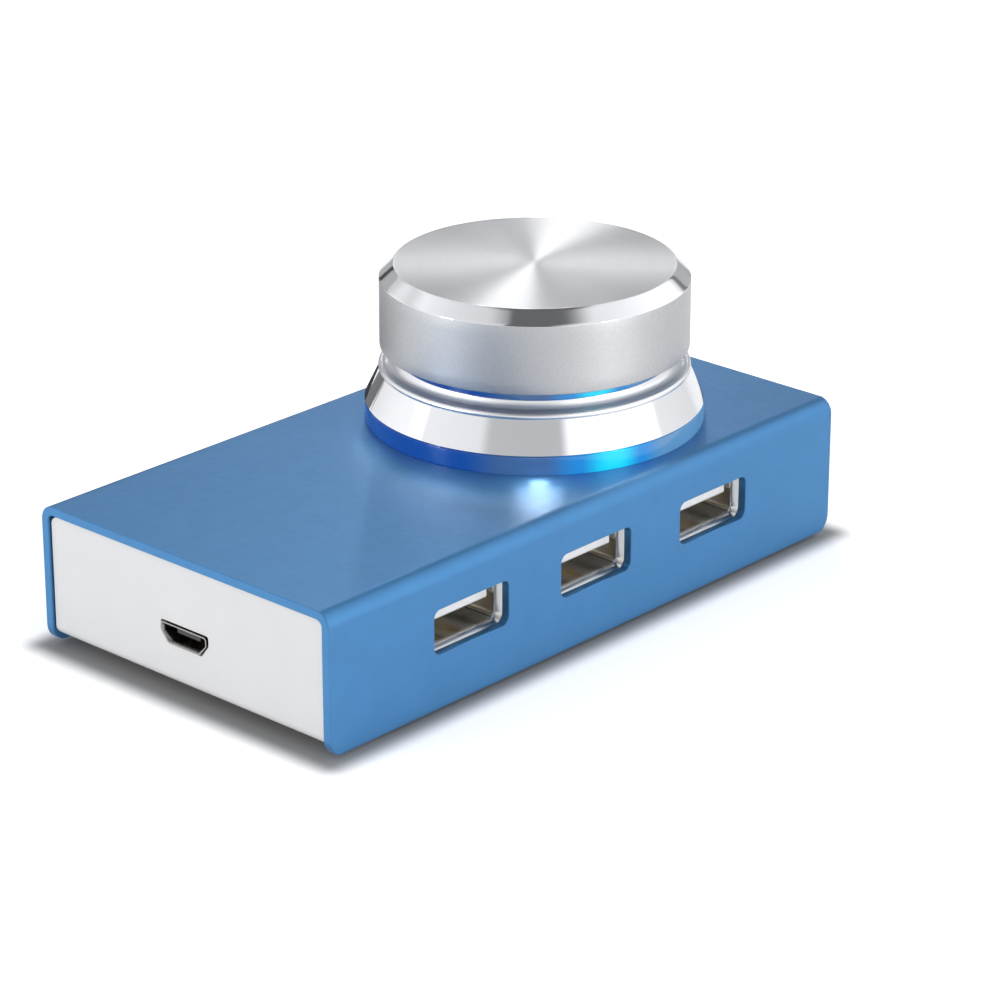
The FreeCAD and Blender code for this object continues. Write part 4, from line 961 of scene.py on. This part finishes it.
class VOLUMEKNOB_OT_stage(bpy.types.Operator):
    """Set up the camera, the lamps, the room and the floor"""
    bl_idname = "volume_knob.stage"
    bl_label = "Stage"

    def execute(self, context):
        s = context.scene.volume_knob.stage
        self.camera(context, s)
        self.floor(s)
        self.room(context, s)
        for name, values in LAMPS.items():
            self.softbox(name, *values)
        for name, values in CARDS.items():
            self.card(name, *values)
        self.glow()
        context.scene.view_settings.view_transform = "Standard"
        return {"FINISHED"}

    def camera(self, context, s):
        right, back = heading(math.pi / 2), heading(0, s.elevation)
        up = back.cross(right)
        data = bpy.data.cameras.new("camera")
        data.sensor_width, data.lens = 36, s.lens
        data.clip_start, data.clip_end = 0.01, 20
        camera = bpy.data.objects.new("camera", data)
        turn = Matrix((right, up, back)).transposed().to_4x4()
        place = right * s.right + up * s.up + back * s.distance
        camera.matrix_world = Matrix.Translation(place) @ turn
        context.scene.collection.objects.link(camera)
        context.scene.camera = camera

    def floor(self, s):
        """Floor that bends up into a wall far away: a point at distance r from the middle is as high as
        the wall times a quarter circle's rise over the last stretch. Seen from below it is clear."""
        radius, bend = 2.4, 0.9
        turn = np.linspace(0, math.pi / 2, 25)
        rise = np.stack([radius + bend * np.sin(turn), bend * (1 - np.cos(turn))], 1)
        outline = np.concatenate([[(0, 0), (0.2, 0), (0.8, 0)], rise])
        skin = Skin()
        skin.sheet(turned(outline[::-1], 96, (0, 0)))
        made = Finish("floor_white", s.floor, 0.0, 0.9)
        painted_shadow_fade = self.off_footprint(made, s.shadow)
        # Painted contact shadow: the floor's colour falls to 0.35 of itself at the housing's outline, and
        # the camera's lift fades out there too
        made.vary_colour(painted_shadow_fade, 0.35, 1.0, 0, 1)
        path = made.add("ShaderNodeLightPath").outputs
        shine = made.math("MAXIMUM", path["Is Glossy Ray"], path["Is Transmission Ray"])
        seen = made.math("MULTIPLY", path["Is Camera Ray"], painted_shadow_fade)
        lift = made.math("ADD", made.math("MULTIPLY", seen, s.lift),
                         made.math("MULTIPLY", shine, s.lift / 2))
        glow = made.add("ShaderNodeEmission", {"Strength": lift})
        both = made.add("ShaderNodeAddShader", {0: made.shader.outputs[0], 1: glow.outputs[0]})
        clear = made.add("ShaderNodeBsdfTransparent")
        below = made.add("ShaderNodeNewGeometry").outputs["Backfacing"]
        choice = made.add("ShaderNodeMixShader", {0: below, 1: both.outputs[0], 2: clear.outputs[0]})
        made.tree.links.new(choice.outputs[0], made.tree.nodes["Material Output"].inputs["Surface"])
        skin.build("floor", [made.material], closed=False)

    def off_footprint(self, made, fade):
        """0 under the housing, rising to 1 at the fade distance from its outline. It fades in the floor's
        lift, so that the lift doesn't wash out the shadow where the housing stands, and darkens the floor's
        colour: a painted contact shadow."""
        split = made.add("ShaderNodeSeparateXYZ", {0: made.where}).outputs
        beyond = [made.math("MAXIMUM", made.math("SUBTRACT", made.math("ABSOLUTE", split[axis]), half))
                  for axis, half in (("X", COVER[1].x), ("Y", COVER[1].y))]
        return made.spread(made.length(*beyond), 0, 1, 0, fade, "SMOOTHSTEP")

    def room(self, context, s):
        """Grey room, darker overhead, with a wide pale wall on each side.

        A panel's share is a product of smooth steps over the azimuth, counted from the camera's to
        the right, and over the elevation."""
        world = bpy.data.worlds.new("room")
        context.scene.world = world
        world.use_nodes = True
        made = Nodes(world.node_tree)
        where = made.add("ShaderNodeTexCoord").outputs["Generated"]
        aimed = made.add("ShaderNodeVectorRotate", {"Vector": where}, rotation_type="Z_AXIS",
                         Angle=-s.azimuth)
        split = made.add("ShaderNodeSeparateXYZ", {0: aimed.outputs[0]}).outputs
        azimuth = made.math("ARCTAN2", split["X"], made.math("MULTIPLY", split["Y"], -1))
        elevation = made.math("ARCSINE", split["Z"])
        total = made.spread(elevation, 0.72, 0.15, math.radians(10), math.radians(70), "SMOOTHSTEP")
        for panel in PANELS:
            left, right, low, high, soft = (math.radians(v) for v in panel[:5])
            share = made.math("MULTIPLY", made.between(azimuth, left, right, soft),
                              made.between(elevation, low, high, soft))
            total = made.math("ADD", total, made.math("MULTIPLY", share, panel[5]))
        background = made.tree.nodes["Background"]
        background.inputs["Color"].default_value = (0.97, 0.98, 1.0, 1)
        made.tree.links.new(made.math("MULTIPLY", total, s.sky), background.inputs["Strength"])

    def area(self, name, shape, width, height, power, place, away):
        """Flat lamp that shines against the direction away. The camera doesn't see it."""
        data = bpy.data.lights.new(name, "AREA")
        data.shape, data.size, data.size_y, data.energy = shape, width, height, power
        lamp = bpy.data.objects.new(name, data)
        lamp.visible_camera = False
        lamp.matrix_world = Matrix.Translation(place) @ away.to_track_quat("Z", "Y").to_matrix().to_4x4()
        bpy.context.scene.collection.objects.link(lamp)
        return data

    def softbox(self, name, azimuth, elevation, distance, width, height, brightness):
        """Lamp aimed at the knob. A brightness of 1 looks white in a mirror: the power is pi times the
        brightness and the area."""
        away = heading(math.radians(azimuth), math.radians(elevation))
        place = Vector((*AXIS, 0.03)) + away * distance
        self.area(name, "RECTANGLE", width, height, math.pi * brightness * width * height, place, away)

    def glow(self):
        """Small lamps at the trim ring's edge, which shine down and outwards on the cover as the lit
        ring does."""
        radius = (GUIDE[1].x - GUIDE[0].x) / 2 + 0.9 * MM
        for number, (azimuth, height, width, power) in enumerate(GLOW):
            out = heading(math.radians(azimuth))
            place = Vector((*AXIS, COVER[1].z + height * MM)) + out * radius
            data = self.area("ring_glow_%d" % number, "ELLIPSE", width * MM, 0.8 * MM, power, place,
                             Vector((0, 0, 0.7)) - out * 0.7)
            data.color = 1.0, 0.8, 0.66

    def card(self, name, azimuth, distance, width, height, shade):
        """Upright card that only shiny surfaces show, as a photographer's flags do."""
        out, side = heading(math.radians(azimuth)), heading(math.radians(azimuth + 90)) * width / 2
        foot = Vector((*AXIS, 2 * MM)) + out * distance
        corners = np.array([[foot - side, foot + side]] * 2)
        corners[1, :, 2] += height
        skin = Skin()
        skin.sheet(corners)
        made = Finish(name, (shade, shade, shade), 0.0, 0.9)
        made.vary_colour(made.noise(40, 2), 0.9, 1.1)
        card = skin.build(name, [made.material], closed=False)
        card.visible_camera = card.visible_diffuse = card.visible_shadow = False


class VOLUMEKNOB_PT_sidebar(bpy.types.Panel):
    """The steps and settings of the volume knob"""
    bl_idname = "VOLUMEKNOB_PT_sidebar"
    bl_label = "Volume Knob"
    bl_space_type = "VIEW_3D"
    bl_region_type = "UI"
    bl_category = "Volume Knob"

    def draw(self, context):
        for step in STEPS:
            self.layout.operator(step.bl_idname)
        settings = context.scene.volume_knob
        for name, group in GROUPS.items():
            box = self.layout.box()
            box.label(text=name.title())
            for key in group.__annotations__:
                box.prop(getattr(settings, name), key)


STEPS = (VOLUMEKNOB_OT_cover, VOLUMEKNOB_OT_cap, VOLUMEKNOB_OT_trim, VOLUMEKNOB_OT_light,
         VOLUMEKNOB_OT_sockets, VOLUMEKNOB_OT_inlet, VOLUMEKNOB_OT_feet, VOLUMEKNOB_OT_inner,
         VOLUMEKNOB_OT_stage)
CLASSES = (*GROUPS.values(), VolumeKnobSettings, *STEPS, VOLUMEKNOB_PT_sidebar)


def register():
    for kind in CLASSES:
        bpy.utils.register_class(kind)
    bpy.types.Scene.volume_knob = PointerProperty(type=VolumeKnobSettings)


def unregister():
    del bpy.types.Scene.volume_knob
    for kind in reversed(CLASSES):
        bpy.utils.unregister_class(kind)


def main():
    register()
    for step in STEPS:
        family, name = step.bl_idname.split(".")
        getattr(getattr(bpy.ops, family), name)()


if __name__ == "__main__":
    main()
